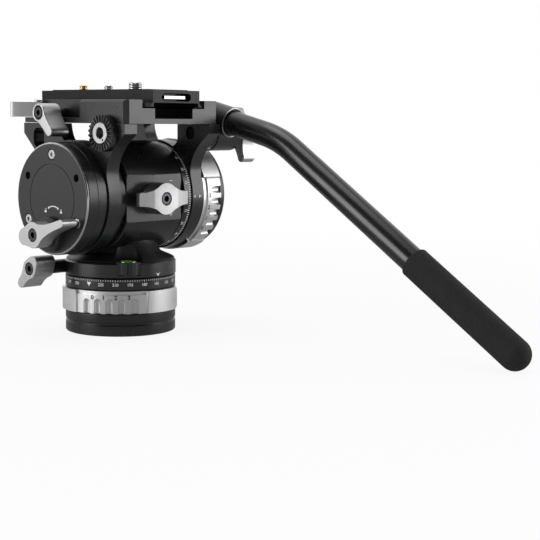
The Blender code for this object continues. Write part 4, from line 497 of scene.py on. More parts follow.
# The pan disc turns on the base with everything above it. It is turned from black aluminium,
# with a lug on the left for the pan lock's shaft and a pocket in its edge for the level.
DISC_R, DISC_LOW, DISC_HIGH = 40.0, 41.2, 52.0
LEVEL_AT, LEVEL_OUT, LEVEL_R = 237.5, 34.0, 9.6
level_place = (*polar(LEVEL_OUT, LEVEL_AT), 0)
LUG_Y, LUG_Z, LUG_R, LUG_END = 26.0, 46.3, 4.9, 45.7
disc_profile = (
    (0, DISC_LOW + 0.2), (27.5, DISC_LOW + 0.2), (27.5, DISC_LOW), (DISC_R - 0.6, DISC_LOW),
    (DISC_R, DISC_LOW + 0.6), (DISC_R, DISC_HIGH - 1.2), (DISC_R - 1.2, DISC_HIGH), (0, DISC_HIGH))
disc = carved(spun(disc_profile), spun(rod(LEVEL_R + 0.25, 43.2, 60), centre=level_place, steps=48))
put("pan_disc.turned", disc, black_turned, "pan", ("pan_disc",), 0.2)
black = anodised("black anodised aluminium")
lug_profile = ((0, 30), (LUG_R, 30), (LUG_R, LUG_END - 0.6), (LUG_R - 0.6, LUG_END), (0, LUG_END))
put("pan_disc.lug", spun(lug_profile, "-X", (0, LUG_Y, LUG_Z), 64), black, "pan",
    ("pan_disc",), 0.15)
pointer("pan_disc.index", DISC_R - 0.02, 270.0, 44.3, 41.9, 1.8, "pan", 0.7)


# The level is a black fluted boss in the disc's edge with a clear green bubble vial on top,
# held in by a thin bright ring.
flutes = []
for k in range(160):
    turn = 360 * k / 160
    near = abs((turn + 22.5) % 45 - 22.5) / 22.5
    flutes.append(polar(LEVEL_R - 2.0 * max(0.0, 1 - (near * 1.9) ** 2) ** 0.5, turn + LEVEL_AT))
boss = prism(flutes, 43.4, 52.6, moved(level_place))
boss = carved(boss, spun(rod(6.6, 50.2, 54), centre=level_place, steps=48))
put("level.boss", boss, black, "pan", ("level_housing",))
bright = finish_of("bright turned steel", (0.55, 0.55, 0.56), (0.66, 0.66, 0.67), 1.0, 0.22,
                   spread=0.04, depth=0.015)
ring = ((5.5, 50.2), (6.5, 50.2), (6.5, 52.9), (6.2, 53.1), (5.5, 53.1))
put("level.ring", spun(ring, centre=level_place, steps=64), bright, "pan", edge=0.1)
vial = bpy.data.materials.new("green level fluid under clear resin")
vial.use_nodes = True
tree = vial.node_tree
shader = tree.nodes["Principled BSDF"]
dial(shader, {"Roughness": 0.06, "Coat Weight": 0.6, "Coat Roughness": 0.03})
where, cloud, tone = add_nodes(tree, "TexCoord", "TexNoise", "ValToRGB")
dial(cloud, {"Scale": 160.0})
tone.color_ramp.elements[0].color = (0.06, 0.30, 0.02, 1)
tone.color_ramp.elements[1].color = (0.20, 0.62, 0.06, 1)
wire(tree, (where, "Object", cloud, "Vector"), (cloud, "Fac", tone, "Fac"),
     (tone, "Color", shader, "Base Color"))
dome = ((0, 50.2), (5.4, 50.2), (5.4, 52.7), (5.0, 53.05), (3.5, 53.35), (1.8, 53.48), (0, 53.5))
put("level.vial", spun(dome, centre=level_place, steps=64), vial, "pan", ("level_vial",), 0)
circle = ((1.9, 53.3), (2.15, 53.3), (2.15, 53.49), (1.9, 53.51))
put("level.circle", spun(circle, centre=level_place, steps=48), dark_marking, "pan", edge=0)


# The main housing is one black casting on the disc: a foot that closes from a round to an oval,
# and a drum along the tilt axis with a milled flat at the back for the counterbalance knob.
TILT_Z, HOUSING_R, HOUSING_HALF, FLAT_Y = 97.0, 39.7, 26.0, 36.3
black_across = anodised("black anodised aluminium turned on X", ("X", (0, 0, TILT_Z * MM)))
foot_rings = (              # height, then half the width in X and in Y
    (52.3, 39.0, 39.0), (53.0, 38.6, 38.6), (54.4, 35.6, 36.6), (55.8, 31.6, 34.4), (57.2, 28.0, 32.6),
    (57.9, 26.6, 31.7), (60.0, 26.3, 29.4), (63.0, 26.0, 27.0), (67.0, 25.6, 24.5), (82.0, 25.3, 22.0))
bm = bmesh.new()
rows = []
for height, half_x, half_y in foot_rings:
    ring = bmesh.ops.create_circle(bm, segments=96, radius=1, cap_ends=False)["verts"]
    bmesh.ops.transform(bm, verts=ring, matrix=(
        moved((0, 0, height)) @ Matrix.Diagonal((half_x * MM, half_y * MM, 1, 1))))
    rows.append(ring)
for low_row, high_row in zip(rows, rows[1:]):
    edges = {e for v in low_row + high_row for e in v.link_edges
             if set(e.verts) <= set(low_row) or set(e.verts) <= set(high_row)}
    bmesh.ops.bridge_loops(bm, edges=list(edges))
for row in (rows[0], rows[-1]):
    bmesh.ops.contextual_create(bm, geom=row)
bmesh.ops.recalc_face_normals(bm, faces=bm.faces)
foot = carved(bm, spun(rod(LEVEL_R + 0.25, 40, 64), centre=level_place, steps=48))
black_cast = finish_of("black coated casting", BLACK, BLACK_WORN, 0.0, 0.42,
                       spread=0.03, depth=0.01, gloss=0.4)
put("housing.foot", foot, black_cast, "pan", ("main_housing",), 0.3)
AXLE_AT = (0, 0, TILT_Z)
barrel = spun(((15.3, -HOUSING_HALF), (HOUSING_R - 0.7, -HOUSING_HALF), (HOUSING_R, -HOUSING_HALF + 0.7),
               (HOUSING_R, HOUSING_HALF - 0.7), (HOUSING_R - 0.7, HOUSING_HALF), (15.3, HOUSING_HALF),
               (15.3, 20), (31, 20), (31, -20), (15.3, -20)), "X", AXLE_AT)


def blocks(*each):
    """Plain blocks, each by its middle and its size."""
    bm = bmesh.new()
    for middle, size in each:
        bmesh.ops.create_cube(bm, size=MM, matrix=moved(middle) @ Matrix.Diagonal((*size, 1)))
    return bm


flat = blocks(((0, -FLAT_Y - 10, TILT_Z), (60, 20, 60)))
put("housing.barrel", carved(barrel, flat), black_across, "pan", ("main_housing",), 0.3)
# a fine line down the flat where the casting's halves meet, and the knob's plus and minus
line = blocks(((-1.5, -FLAT_Y, TILT_Z), (0.22, 0.12, 31.8)))
put("housing.flat_line", line, black, "pan", edge=0)
signs = ((15.8, 108.9, 3.0, 0.5), (15.8, 84.9, 3.0, 0.5), (15.8, 84.9, 0.5, 3.0), (24.2, 97.0, 2.2, 0.6))
signs = blocks(*(((across, -FLAT_Y, up), (wide, 0.16, tall)) for across, up, wide, tall in signs))
put("housing.signs", signs, marking, "pan", edge=0)


# Left of the housing are a plain collar and the fixed drum. Both are turned from black
# aluminium and lathe marks run round them.
collar = ((9.4, -32.9), (36.0, -32.9), (36.5, -32.4), (36.5, -26.8), (36.0, -26.3), (9.4, -26.3))
put("collar.left", spun([(r, -h) for r, h in collar], "-X", AXLE_AT), black_across, "pan",
    ("left_collar",), 0.1)
drum = ((9.4, 45.3), (15, 45.3), (15, 53), (34, 53), (34, 45.3), (38.5, 45.3), (39, 45.8), (39, 53),
        (38.8, 53.1), (38.8, 53.4), (39, 53.5), (39, 60.6), (38.6, 61), (34.3, 61), (34.3, 58), (9.4, 58))
put("drum.left", spun(drum, "-X", AXLE_AT), black_across, "pan", ("left_drum",), 0.1)


# The left cap is a satin charcoal face plate with a bright turned bevel, a ring groove, three
# screws and two dark threaded holes, and a raised boss for the tilt lock. A plain curved
# arrow with a lock at each end is filled in white above the boss.
CAP_R, CAP_FACE, GROOVE_R, HOLE_RING = 38.7, 62.3, 23.8, 30.5
BOSS_Y, BOSS_Z, BOSS_R, BOSS_END = -0.5, 73.0, 12.0, 67.2
charcoal = finish_of("satin charcoal face", (0.030, 0.030, 0.031), (0.050, 0.050, 0.052), 0.55, 0.40,
                     spread=0.05, grain=3200.0, depth=0.02)
cap = spun((
    (0, 58.3), (34, 58.3), (34, 61.3), (CAP_R, 61.3), (CAP_R, CAP_FACE - 0.8), (CAP_R - 0.8, CAP_FACE),
    (GROOVE_R + 0.5, CAP_FACE), (GROOVE_R + 0.5, CAP_FACE - 0.5), (GROOVE_R, CAP_FACE - 0.5),
    (GROOVE_R, CAP_FACE), (0, CAP_FACE)), "-X", AXLE_AT)
holes = []
for i in (0, 1, 2, 4, 5):
    across, up = polar(HOLE_RING, 90 + 60 * i)
    hole_r, floor_at = ((3.9, CAP_FACE - 1.9), (2.7, CAP_FACE - 3.4))[i % 2]
    holes.append(spun(rod(hole_r, floor_at, CAP_FACE + 1), "-X", (0, across, TILT_Z + up), 32))
cap = carved(cap, gathered(holes))
put("left_cap.plate", cap, charcoal, "pan", ("left_cap",), 0.12)
rim = ((CAP_R + 0.02, CAP_FACE - 0.95), (CAP_R + 0.02, CAP_FACE - 0.8), (CAP_R - 0.8, CAP_FACE + 0.02),
       (CAP_R - 0.95, CAP_FACE + 0.02), (CAP_R - 0.95, CAP_FACE - 0.95))
put("left_cap.bevel", spun(rim, "-X", AXLE_AT, 192), bright, "pan", edge=0)
boss = ((0, CAP_FACE - 0.3), (BOSS_R, CAP_FACE - 0.3), (BOSS_R, BOSS_END - 0.8),
        (BOSS_R - 0.8, BOSS_END), (0, BOSS_END))
put("left_cap.boss", spun(boss, "-X", (0, BOSS_Y, BOSS_Z), 96), charcoal, "pan", ("left_cap",), 0.2)
ARROW_MID_Y, ARROW_MID_Z, ARROW_R = -1.6, 81.0, 11.0
ARROW_FROM, ARROW_TO, LINE_HALF, HEAD_HALF = 64, 116, 0.35, 1.1
LOCK_OUT, LOCK_UP = 8.4, 7.6
shapes = []                # outlines in millimetres from the middle of the arrow's curve
for k in range(24):
    a, b = [ARROW_FROM + (ARROW_TO - ARROW_FROM) * (k + step) / 24 for step in (0, 1)]
    shapes.append([polar(ARROW_R + side * LINE_HALF, turn)
                   for side, turn in ((-1, a), (1, a), (1, b), (-1, b))])
for end, ahead in ((ARROW_FROM, -7), (ARROW_TO, 7)):
    shapes.append([polar(ARROW_R + out, end + turn)
                   for out, turn in ((-HEAD_HALF, 0), (HEAD_HALF, 0), (0, ahead))])
for side in (-1, 1):
    shackle_foot = 1.3 if side < 0 else 0.5
    for left, low, right, high in ((-1.0, -1.2, 1.0, 0.3), (-0.75, 0.3, -0.45, 1.3),
                                   (0.45, 0.3, 0.75, shackle_foot), (-0.75, 1.3, 0.75, 1.6)):
        shapes.append([(side * LOCK_OUT + y, LOCK_UP + z)
                       for y, z in ((left, low), (right, low), (right, high), (left, high))])
bm = bmesh.new()
for shape in shapes:
    bm.faces.new([bm.verts.new((-(CAP_FACE + 0.05) * MM, (ARROW_MID_Y + y) * MM, (ARROW_MID_Z + z) * MM))
                  for y, z in shape])
bmesh.ops.remove_doubles(bm, verts=bm.verts, dist=0.002 * MM)
put("left_cap.arrow", thickened(bm, (0.09 * MM, 0, 0)), marking, "pan", edge=0)


# The cap screws are turned steel heads with hex sockets, one pattern in two sizes: three in
# the cap's face and one in the face of each lever and of the knob.
steel = finish_of("turned steel", (0.34, 0.34, 0.35), (0.44, 0.44, 0.45), 1.0, 0.3)
dark_steel = finish_of("blackened steel", (0.07, 0.07, 0.075), (0.12, 0.12, 0.125), 1.0, 0.32)
# near-black for the floors of the lever screws' sockets and for the bar's bolt: painted shade where they lie
# in shade
painted_shade_black = finish_of("unlit inside of a socket", (0.004, 0.004, 0.004), (0.008, 0.008, 0.008), 0.0, 0.7,
                   gloss=0.1)
ACROSS = Matrix.Rotation(pi / 2, 4, "Z") @ Matrix.Rotation(pi / 2, 4, "X")     # local XY is the world's YZ


def cap_screw(name, node, lie, at, radius, base, face, look, body, turn=0.0, share=0.52, inside=painted_shade_black):
    """A socket head between base and face on local Z, with a chamfered rim and a hex hole. The hole's floor
    is covered by a thin sheet in the inside finish, darker than the head: painted shade in the socket.
    """
    out = 1 if face > base else -1
    place = moved(at) @ lie
    head = ((0, base), (radius, base), (radius, face - 0.45 * out), (radius - 0.45, face), (0, face))
    floor_at = face - abs(face - base) * 0.6 * out
    hexagon = [polar(radius * share, 60 * k + turn) for k in range(6)]
    bm = carved(spun(head, steps=48), prism(hexagon, *sorted((floor_at, face + out))))
    put(name, laid(bm, place), look, body, (node,), 0.12)
    # the thin sheet on the socket's floor, darker than the head: painted shade
    inner = prism(hexagon, *sorted((floor_at, floor_at + 0.15 * out)), place)
    put(name + ".socket", inner, inside, body, edge=0)


# these sockets' floors are plain steel, darker than the bright heads: painted shade
for i in range(3):
    across, up = polar(HOLE_RING, 90 + 120 * i)
    cap_screw(f"left_cap.screw_{i + 1}", f"left_cap_screw_{i + 1}", ACROSS, (0, across, TILT_Z + up),
              3.55, -CAP_FACE + 1.6, -CAP_FACE + 0.05, bright, "pan", 15, 0.42, steel)


# Levers and the knob are investment-cast aluminium, bead blasted, with rounded edges and flanks
# that hollow from a round hub to each tip. A cap screw sunk in the face holds each on its shaft.
FLANK = 58.0               # degrees from a tip's middle to where its flank leaves the hub
RECESS_R, RECESS_DEEP = 4.7, 3.3
cast = finish_of("bead-blasted cast aluminium", (0.54, 0.54, 0.545), (0.64, 0.64, 0.645), 1.0, 0.42,
                 grain=1800.0)


def hollow_flank(first, pull, last, steps=16):
    """Points between first and last on a curve drawn towards pull."""
    return [tuple((1 - t) ** 2 * a + 2 * t * (1 - t) * b + t * t * c for a, b, c in zip(first, pull, last))
            for t in (k / steps for k in range(1, steps))]


def leaf(hub_r, tips, square=False):
    """A lever's outline: each tip is its angle in degrees, its length and half its width."""
    outline = []
    for i, (angle, length, half) in enumerate(tips):
        along, across = Vector(polar(1, angle)), Vector(polar(1, angle + 90))
        near, far = Vector(polar(hub_r, angle - FLANK)), Vector(polar(hub_r, angle + FLANK))
        corner = 1.2 if square else half
        end = along * (length - corner)
        pull = along * hub_r * cos(radians(FLANK)) * 2
        outline.append(tuple(near))
        outline += hollow_flank(near, pull - across * half, end - across * half)
        for side, start in ((-1, -90), (1, 0)):
            middle = end + across * side * (half - corner)
            outline += [tuple(middle + Vector(polar(corner, angle + start + 15 * k))) for k in range(7)]
        outline += hollow_flank(end + across * half, pull + across * half, far)
        following = tips[(i + 1) % len(tips)][0] + (360 if i + 1 == len(tips) else 0)
        span = following - angle - 2 * FLANK
        steps = max(3, int(span / 7))
        outline += [polar(hub_r, angle + FLANK + span * k / steps) for k in range(steps)]
    return outline


def handle(name, node, blank, lie, at, face, edge=0.7, screw_r=4.4, turn=0.0):
    """The blank with a recess cut in its face, put in place, and the cap screw in the recess."""
    body, out = name.split(".")[0], 1 if face > 0 else -1
    bm = carved(blank, spun(rod(RECESS_R, face - RECESS_DEEP * out, face + out), steps=48))
    put(name, laid(bm, moved(at) @ lie), cast, body, (node,), edge, 3)
    cap_screw(body + ".screw", node.rsplit("_", 1)[0] + "_screw", lie, at, screw_r,
              face - 3 * out, face - 0.1 * out, dark_steel, body, turn)


PAN_LOCK_FACE, TILT_LOCK_FACE = -62.5, -79.5
blank = prism(leaf(7.0, ((129.0, 10.5, 5.0), (311.6, 18.0, 3.5))), PAN_LOCK_FACE, -46.0)
handle("pan_lock.lever", "pan_lock_lever", blank, ACROSS, (0, LUG_Y, LUG_Z), PAN_LOCK_FACE)
blank = prism(leaf(9.0, ((162.0, 34.0, 2.6), (350.0, 15.5, 6.0))), TILT_LOCK_FACE, -67.5)
handle("tilt_lock.lever", "tilt_lock_lever", blank, ACROSS, (0, BOSS_Y, BOSS_Z), TILT_LOCK_FACE)


# The counterbalance knob stands on the housing's flat. Its two wings are undercut, and their
# tips are set back from the face that the hub and its screw are in.
FACING_BACK = Matrix.Rotation(pi / 2, 4, "X")        # local Z is the world's -Y
KNOB_FOOT, KNOB_FACE, WING, TIP_BACK = 36.6, 49.0, 23.1, 2.5
knob_blank = prism(leaf(11.2, ((0, WING, 4.8), (180, WING, 4.8)), True), KNOB_FOOT, KNOB_FACE)
half_view = ((11.2, KNOB_FOOT - 1), (11.2, KNOB_FOOT + 6.4), (WING + 1, KNOB_FOOT + 6.4),
             (WING + 1, KNOB_FACE - TIP_BACK - 0.4), (16.5, KNOB_FACE - 1.1), (11.0, KNOB_FACE - 0.1),
             (7.5, KNOB_FACE + 0.01))
side_view = half_view + tuple((-x, y) for x, y in reversed(half_view))
side_solid = prism(side_view, -12, 12, FACING_BACK)
handle("counterbalance.knob", "counterbalance_knob", carved(knob_blank, side_solid, "INTERSECT"),
       FACING_BACK, AXLE_AT, KNOB_FACE, turn=15)


# The tilt scale ring is fixed between the housing and the right arm and tilts with the arms. It
# carries numbers every 15 degrees and a dense row of ticks beside the arm, all filled in white.
TILT_SCALE_R, TILT_NUMBER_MID = 39.0, 29.2
band = ((20.3, 26.8), (38.7, 26.8), (TILT_SCALE_R, 27.1), (TILT_SCALE_R, 33.4), (38.7, 33.7), (20.3, 33.7))
put("tilt_scale.band", spun(band, "X", AXLE_AT), black_across, "tilt", ("tilt_scale_ring",), 0.1)
ON_TILT = moved(AXLE_AT) @ ACROSS
for k in range(-6, 7):
    if k:
        lettering(f"tilt_scale.number_{'up' if k > 0 else 'down'}_{abs(k) * 15}", str(abs(k) * 15), 2.7,
                  TILT_SCALE_R - 0.02, 180 - 15 * k, TILT_NUMBER_MID, ON_TILT, "tilt", marking, 0.04)
tick_marks("tilt_scale.ticks", TILT_SCALE_R, [
    (180 + 2.5 * k, 30.9 if k % 6 == 0 else 31.5, 33.3, 0.62) for k in range(-38, 39)],
    ON_TILT, "tilt", marking)
tick_marks("housing.tilt_zero", HOUSING_R, [(180, 24.0, 25.4, 0.5)], ON_TILT, "pan", marking)


# The right drum is fixed to the arm and the tilt drag ring turns on it. The cap that closes it
# is polished black with a large rounded edge.
drum = ((9.4, 45.3), (35.0, 45.3), (35.4, 45.7), (35.4, 62.0), (30.4, 62.0), (30.4, 49.8), (9.4, 49.8))
put("right_drum.turned", spun(drum, "X", AXLE_AT), black_across, "tilt", ("right_drum",), 0.1)
cap = ((0, 60.2), (30, 60.2), (30, 62.5), (39.0, 62.5), (39.6, 62.9), *quarter(37.1, 66.0, 2.5), (0, 68.5))
put("right_cap.turned", spun(cap, "X", AXLE_AT), black_across, "tilt", ("right_cap",), 0.1)


# The tilt drag ring is the pan drag ring's twin laid on its side, its finger slots open
# towards the cap. Its digits stand upright where they come past the mark on the arm.
RING_OUT, RING_WIDE = 62.3, 16.6
bm = grip_ring(90 - 198.8, RING_WIDE, 3.4, 9.4)
put("tilt_ring.grip", laid(bm, moved((RING_OUT, 0, TILT_Z)) @ turn_to("-X")), silver, "tilt_ring",
    ("tilt_drag_ring",), 0.45, 3)
for digit, below in zip("3210", (0.0, 12.3, 24.5, 36.6)):
    lettering(f"tilt_ring.digit_{digit}", digit, 4.3, PANEL_R - 0.02, 180 + below, RING_OUT - 11.6, ON_TILT,
              "tilt_ring", dark_marking, lean=90, bold=0.035)


# The arms are milled from black plate and joined by the platform. Each has a wing in front and
# behind with a rounded hole through the front one, and every edge is broken.
HOLE_BACK, HOLE_FRONT, HOLE_LOW, HOLE_TOP, HOLE_ROUND = 30.0, 42.0, 131.5, 145.2, 4.6


def rounded_box(left, right, low, top, radius, steps=6):
    """The outline of a rectangle with rounded corners."""
    outline = []
    left, right, low, top = left + radius, right - radius, low + radius, top - radius
    for x, y, start in ((right, low, -90), (right, top, 0), (left, top, 90), (left, low, 180)):
        corner = (polar(radius, start + 90 * k / steps) for k in range(steps + 1))
        outline += [(x + a, y + b) for a, b in corner]
    return outline


def copied(node):
    """The node's own solid as a clean mesh, with its loose triangles joined into faces."""
    bm = bmesh.new()
    bm.from_mesh(nodes[node].data)
    bmesh.ops.remove_doubles(bm, verts=bm.verts, dist=0.002 * MM)
    bmesh.ops.dissolve_limit(
        bm, angle_limit=radians(0.4), use_dissolve_boundaries=False,
        verts=bm.verts, edges=bm.edges, delimit={"NORMAL"})
    return bm


def arm(side, low, high):
    """The node's own plate with its front hole filled and cut again with round corners."""
    body = f"{side}_arm"
    filling = ((HOLE_BACK - 0.5, HOLE_LOW - 0.5), (HOLE_FRONT + 0.5, HOLE_LOW - 0.5),
               (HOLE_FRONT + 0.5, HOLE_TOP + 0.5), (HOLE_BACK - 0.5, HOLE_TOP + 0.5))
    whole = carved(copied(body), prism(filling, low, high, ACROSS), "UNION")
    hole = rounded_box(HOLE_BACK, HOLE_FRONT, HOLE_LOW, HOLE_TOP, HOLE_ROUND)
    plate = carved(whole, prism(hole, low - 1, high + 1, ACROSS))
    put(f"{side}_arm.plate", plate, black, "tilt", (body,), 0.9, 3)


arm("left", -45.0, -34.0)
arm("right", 34.0, 45.0)
# two small triangles on the right arm's edge that the scale and the drag ring are read against
ARM_R = 40.3
for name, start, tip in (("scale", 36.4, 34.9), ("drag", 40.2, 42.4)):
    bm = bmesh.new()
    corners = [(start, 1.3), (start, -1.3), (tip, 0)]
    face = bm.faces.new([bm.verts.new((x * MM, -(ARM_R + 0.05) * MM, (TILT_Z + z) * MM)) for x, z in corners])
    bmesh.ops.recalc_face_normals(bm, faces=[face])
    if face.normal.y > 0:
        bmesh.ops.reverse_faces(bm, faces=[face])
    put(f"right_arm.mark_{name}", bm, marking, "tilt", edge=0)


# A toothed rosette stands on each arm for a pan bar. The left one is free: its radial teeth
# are black, round a bright turned insert with a screw's hole and a locking pin's hole.
ROSETTE_Y, ROSETTE_Z, ROSETTE_FACE, TEETH = -37.1, 142.5, 50.5, 24


def toothed(outer_r, inner_r, base, face, deep):
    """A ring between base and face on local Z with radial teeth cut into the face."""
    bm = bmesh.new()
    loops = []
    for radius, height, lift in ((inner_r, base, 0), (outer_r, base, 0),
                                 (outer_r, face - deep, deep), (inner_r, face - deep, deep)):
        ring = bmesh.ops.create_circle(bm, segments=TEETH * 6, radius=radius * MM, cap_ends=False)["verts"]
        for k, v in enumerate(ring):
            v.co.z = (height + lift * (0.0, 0.15, 0.85, 1.0, 0.85, 0.15)[k % 6]) * MM
        loops.append({e for v in ring for e in v.link_edges})
    for k in range(4):
        bmesh.ops.bridge_loops(bm, edges=list(loops[k - 1] | loops[k]))
    bmesh.ops.recalc_face_normals(bm, faces=bm.faces)
    return bm


ROSETTE_AT = (0, ROSETTE_Y, ROSETTE_Z)
lying_left = moved(ROSETTE_AT) @ turn_to("-X")
teeth = toothed(12.3, 7.4, 45.3, ROSETTE_FACE, 1.3)
put("rosette.left_teeth", laid(teeth, lying_left), black, "tilt", ("left_rosette",), 0.08, 1)
ring = spun(((3.65, 45.3), (7.3, 45.3), (7.3, ROSETTE_FACE - 0.1), (6.9, ROSETTE_FACE + 0.3),
             (4.1, ROSETTE_FACE + 0.3), (3.65, ROSETTE_FACE - 0.2)), steps=96)
spot = spun(rod(0.75, 48.0, 52), centre=(*polar(5.5, 215), 0), steps=20)
ring = laid(carved(ring, spot), lying_left)
put("rosette.left_insert", ring, bright, "tilt", ("left_rosette_insert",), 0.08)
hole = laid(spun(rod(3.7, 46.4, 46.8), steps=40), lying_left)
put("rosette.left_hole", hole, dark_steel, "tilt", edge=0)
teeth = toothed(12.3, 4.6, 45.3, ROSETTE_FACE, 1.0)
put("rosette.right_teeth", laid(teeth, moved(ROSETTE_AT) @ turn_to("X")), black, "tilt",
    ("right_rosette",), 0.08, 1)


# The platform is milled from one black block: two rear blocks, a recess for the levers, rails
# beside the plate's slot. Its upright edges are rounded over, the rest only broken.
put("platform.milled", copied("platform"), black, "tilt", ("platform",), 0.8, 3)
for jaw, body in (("clamp_jaw", "jaw"), ("fixed_jaw", "tilt")):
    put(f"{jaw}.milled", copied(jaw), silver, body, (jaw,), 0.4)


# The plate's lock lever is cast like the others, but wide along its shaft, which is blackened
# steel. The safety catch in front of it is milled aluminium on an upright pin.
PLATE_LOCK_AT, PLATE_LOCK_FACE = (0, 16.0, 155.9), -61.0
blank = prism(leaf(6.5, ((229.0, 20.5, 3.5),)), PLATE_LOCK_FACE, -45.5)
handle("plate_lock.lever", "plate_lock_lever", blank, ACROSS, PLATE_LOCK_AT, PLATE_LOCK_FACE, 0.8, 4.0)
put("plate_lock.shaft", spun(rod(3.0, -45.6, -31.0), "X", PLATE_LOCK_AT, steps=48), dark_steel, "plate_lock",
    edge=0.2)
put("catch.milled", copied("safety_catch"), cast, "catch", ("safety_catch",), 0.6, 3)
put("catch.pin", copied("safety_catch_pin"), steel, "tilt", ("safety_catch_pin",), 0.15)


# The camera plate is a black extruded dovetail with plain sides, arched below. A rubber pad
# lies in its top, and a bright bar is let into the wall of the pocket in its end.
plate_black = finish_of("black anodised extrusion", BLACK, (0.012, 0.012, 0.013), 0.0, 0.3,
                        spread=0.03, depth=0.015, gloss=0.22)
rubber = finish_of("black rubber", (0.012, 0.012, 0.012), (0.02, 0.02, 0.02), 0.0, 0.75,
                   grain=3200.0, depth=0.06, gloss=0.3)
put("plate.extruded", copied("camera_plate"), plate_black, "plate", ("camera_plate",), 0.35)
put("plate.pad", copied("plate_pad"), rubber, "plate", ("plate_pad",), 0.3)
put("plate.bar", copied("plate_end_bar"), bright, "plate", ("plate_end_bar",), 0.3)
brass = finish_of("turned brass", (0.60, 0.40, 0.16), (0.70, 0.48, 0.22), 1.0, 0.26,
                  spread=0.04, depth=0.015)
HEAD_FOOT = 163.8          # where the heads of the pin and the screws stand
pin = ((0, HEAD_FOOT), (5.0, HEAD_FOOT), (5.0, 166.0), (2.6, 166.0), (2.6, 172.9), (3.0, 173.0), (3.0, 174.0),
       (2.6, 174.3), (2.6, 174.9), (3.0, 175.2), (3.0, 175.8), (2.7, 176.1), (0, 176.1))
put("plate.video_pin", spun(pin, centre=(0, 40.6, 0), steps=48), brass, "plate",
    ("video_pin",), 0.08)


# The two camera screws are turned steel, threaded up to a stepped tip with a driver slot across
# it. Each is held in the plate by a flat round head.
def thread(radius, low, high, pitch):
    """The stepped outline of a thread, from low to high."""
    corners = []
    for k in range(int((high - low) / pitch)):
        z = low + k * pitch
        corners += [(radius - 0.45, z), (radius, z + pitch * 0.35), (radius, z + pitch * 0.65)]
    return (*corners, (radius - 0.45, high - 0.3), (radius - 0.8, high))


for name, node, y, radius, top, body, pitch in (
        ("plate.quarter_screw", "quarter_inch_screw", 12.5, 3.17, 175.9, "quarter_screw", 1.27),
        ("plate.three_eighth_screw", "three_eighth_screw", -16.4, 4.76, 177.8, "three_eighth", 1.59)):
    turned = ((0, HEAD_FOOT), (7.5, HEAD_FOOT), (7.5, 166.3), *thread(radius, 166.3, top, pitch), (0, top))
    bm = carved(spun(turned, steps=48), blocks(((0, 0, top), (0.9, 12, 1.8))))
    put(name, laid(bm, moved((0, y, 0))), bright, body, (node,), 0.06)


# The pan bar is drawn aluminium tube, black anodised and bent once. It lies in a plane outside
# the right arm and slopes down behind the head.
BAR_X, BAR_FOOT, BAR_R = 62.0, (-39.5, 153.0), 8.8
FIRST_SLOPE, LAST_SLOPE, FIRST_RUN, BEND_R, LAST_RUN = 13.0, 33.2, 46.0, 84.0, 126.0


def heading(slope):
    """The direction in Y and Z of a bar that falls towards the back."""
    return Vector((-cos(radians(slope)), -sin(radians(slope))))


bend_start = Vector(BAR_FOOT) + heading(FIRST_SLOPE) * FIRST_RUN
bend_centre = bend_start + BEND_R * Vector((sin(radians(FIRST_SLOPE)), -cos(radians(FIRST_SLOPE))))
bend_end = bend_centre - BEND_R * Vector((sin(radians(LAST_SLOPE)), -cos(radians(LAST_SLOPE))))
grip_foot = bend_end + heading(LAST_SLOPE) * LAST_RUN
on_bar = moved((BAR_X, *BAR_FOOT)) @ Matrix.Rotation(radians(90 + FIRST_SLOPE), 4, "X")
bm = bmesh.new()
ring = bmesh.ops.create_circle(bm, segments=64, radius=BAR_R * MM, cap_ends=True, matrix=on_bar)["verts"]
edges = list({e for v in ring for e in v.link_edges})


def run_on(edges, slope, length):
    """Draws a straight run of tube out from those edges, and returns the edges at its end."""
    grown = bmesh.ops.extrude_edge_only(bm, edges=edges)["geom"]
    bmesh.ops.translate(bm, vec=(0, *(heading(slope) * length * MM)), verts=points_of(grown))
    return [g for g in grown if isinstance(g, bmesh.types.BMEdge)]


edges = run_on(edges, FIRST_SLOPE, FIRST_RUN)
bent = bmesh.ops.spin(bm, geom=edges, cent=(BAR_X * MM, *(bend_centre * MM)), axis=(1, 0, 0),
                      angle=radians(LAST_SLOPE - FIRST_SLOPE), steps=20)["geom_last"]
edges = run_on([g for g in bent if isinstance(g, bmesh.types.BMEdge)], LAST_SLOPE, LAST_RUN + 20)
bmesh.ops.contextual_create(bm, geom=edges)
bmesh.ops.remove_doubles(bm, verts=bm.verts, dist=0.001 * MM)
bmesh.ops.recalc_face_normals(bm, faces=bm.faces)
tube_black = finish_of("satin black tube", BLACK, (0.009, 0.009, 0.010), 0.0, 0.27,
                       spread=0.02, depth=0.005, gloss=0.8)
put("bar.tube", bm, tube_black, "bar", ("bar_tube",), 0.1)


# The grip is a moulded foam sleeve with a rolled lip and a domed end. It is pushed on the tube
# and stays there by its tight fit.
GRIP_R, GRIP_LONG = 10.5, 103.5
foam = finish_of("black foam", (0.010, 0.010, 0.010), (0.022, 0.022, 0.022), 0.0, 0.78,
                 grain=1500.0, depth=0.22, gloss=0.35)
dome = quarter(0, GRIP_LONG - GRIP_R, GRIP_R, 12)[:-1]
sleeve = ((BAR_R + 0.1, 0), (GRIP_R - 0.9, 0), (GRIP_R - 0.25, 0.3), (GRIP_R, 1.0), *dome, (0, GRIP_LONG),
          (0, 22), (BAR_R + 0.1, 22))
on_end = moved((BAR_X, *grip_foot)) @ Matrix.Rotation(radians(90 + LAST_SLOPE), 4, "X")
sleeve = laid(spun(sleeve, steps=96), on_end)
put("bar.grip", sleeve, foam, "bar", ("bar_grip",), 0.15)


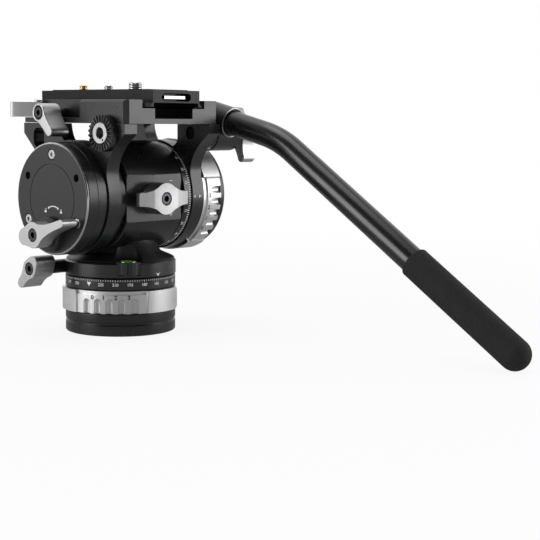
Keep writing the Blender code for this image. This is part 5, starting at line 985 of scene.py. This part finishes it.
# The bar's clamp is a black block with a split socket that the tube lies in. A cast lever
# outside it draws a bolt through clamp and rosette.
SOCKET_END = 13.6
shorter = laid(spun(rod(13, SOCKET_END, 24), steps=48), on_bar)
put("bar.clamp", carved(copied("bar_clamp"), shorter), black, "bar", ("bar_clamp",), 0.7, 3)
# a thin steel ring round the socket's mouth, lighter than the black clamp: a painted highlight along its edge
rim = ((10.1, SOCKET_END - 0.4), (10.95, SOCKET_END - 0.4), (10.95, SOCKET_END), (10.4, SOCKET_END + 0.15),
       (10.1, SOCKET_END))
put("bar.socket_painted_highlight", laid(spun(rim, steps=96), on_bar), steel, "bar", edge=0)
LEVER_IN, LEVER_OUT = 81.0, 93.0
blank = prism(leaf(9.5, ((71.0, 20.0, 3.2), (253.6, 22.5, 3.2))), LEVER_IN, LEVER_OUT)
handle("bar_lock.lever", "bar_clamp_lever", blank, ACROSS, ROSETTE_AT, LEVER_OUT)
washer = ((0, 74.6), (6.1, 74.6), (6.5, 75.0), (6.5, LEVER_IN + 0.2), (0, LEVER_IN + 0.2))
put("bar_lock.washer", spun(washer, "X", ROSETTE_AT, 64), cast, "bar_lock", edge=0.1)
bolt = ((0, 34.8), (3.6, 34.8), (4.0, 35.2), (4.0, 74.7), (0, 74.7))
# the bolt takes the near-black painted shade, as it lies in shade inside clamp, washer and rosette
put("bar_lock.bolt", spun(bolt, "X", ROSETTE_AT, 48), painted_shade_black, "bar_lock", edge=0.1)


# Inside are the pan axle and tilt shaft in steel bearings, the drag's cups and discs, the
# counterbalance's spring, the brakes' linings and the seal.
spring_steel = finish_of("oiled spring steel", (0.22, 0.22, 0.23), (0.30, 0.30, 0.31), 1.0, 0.28)
lining = finish_of("brake lining", (0.22, 0.11, 0.06), (0.30, 0.16, 0.09), 0.0, 0.8, depth=0.08)
for look, slot, inner_nodes in (
        (steel, "steel", "thread_insert pan_axle pan_bearing_lower pan_bearing_upper tilt_bearing_left "
                         "tilt_bearing_right tilt_shaft pan_drag_rotor tilt_drag_rotor"),
        (dark_steel, "dark_steel", "pan_drag_stator"), (spring_steel, "steel", "counterbalance_spring"),
        (lining, "lining", "pan_brake_pin tilt_brake_pad"), (rubber, "rubber", "pan_seal")):
    for node in inner_nodes.split():
        put(node + ".finish", copied(node), look, nodes[node]["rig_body"], (node,), 0.12, 1)
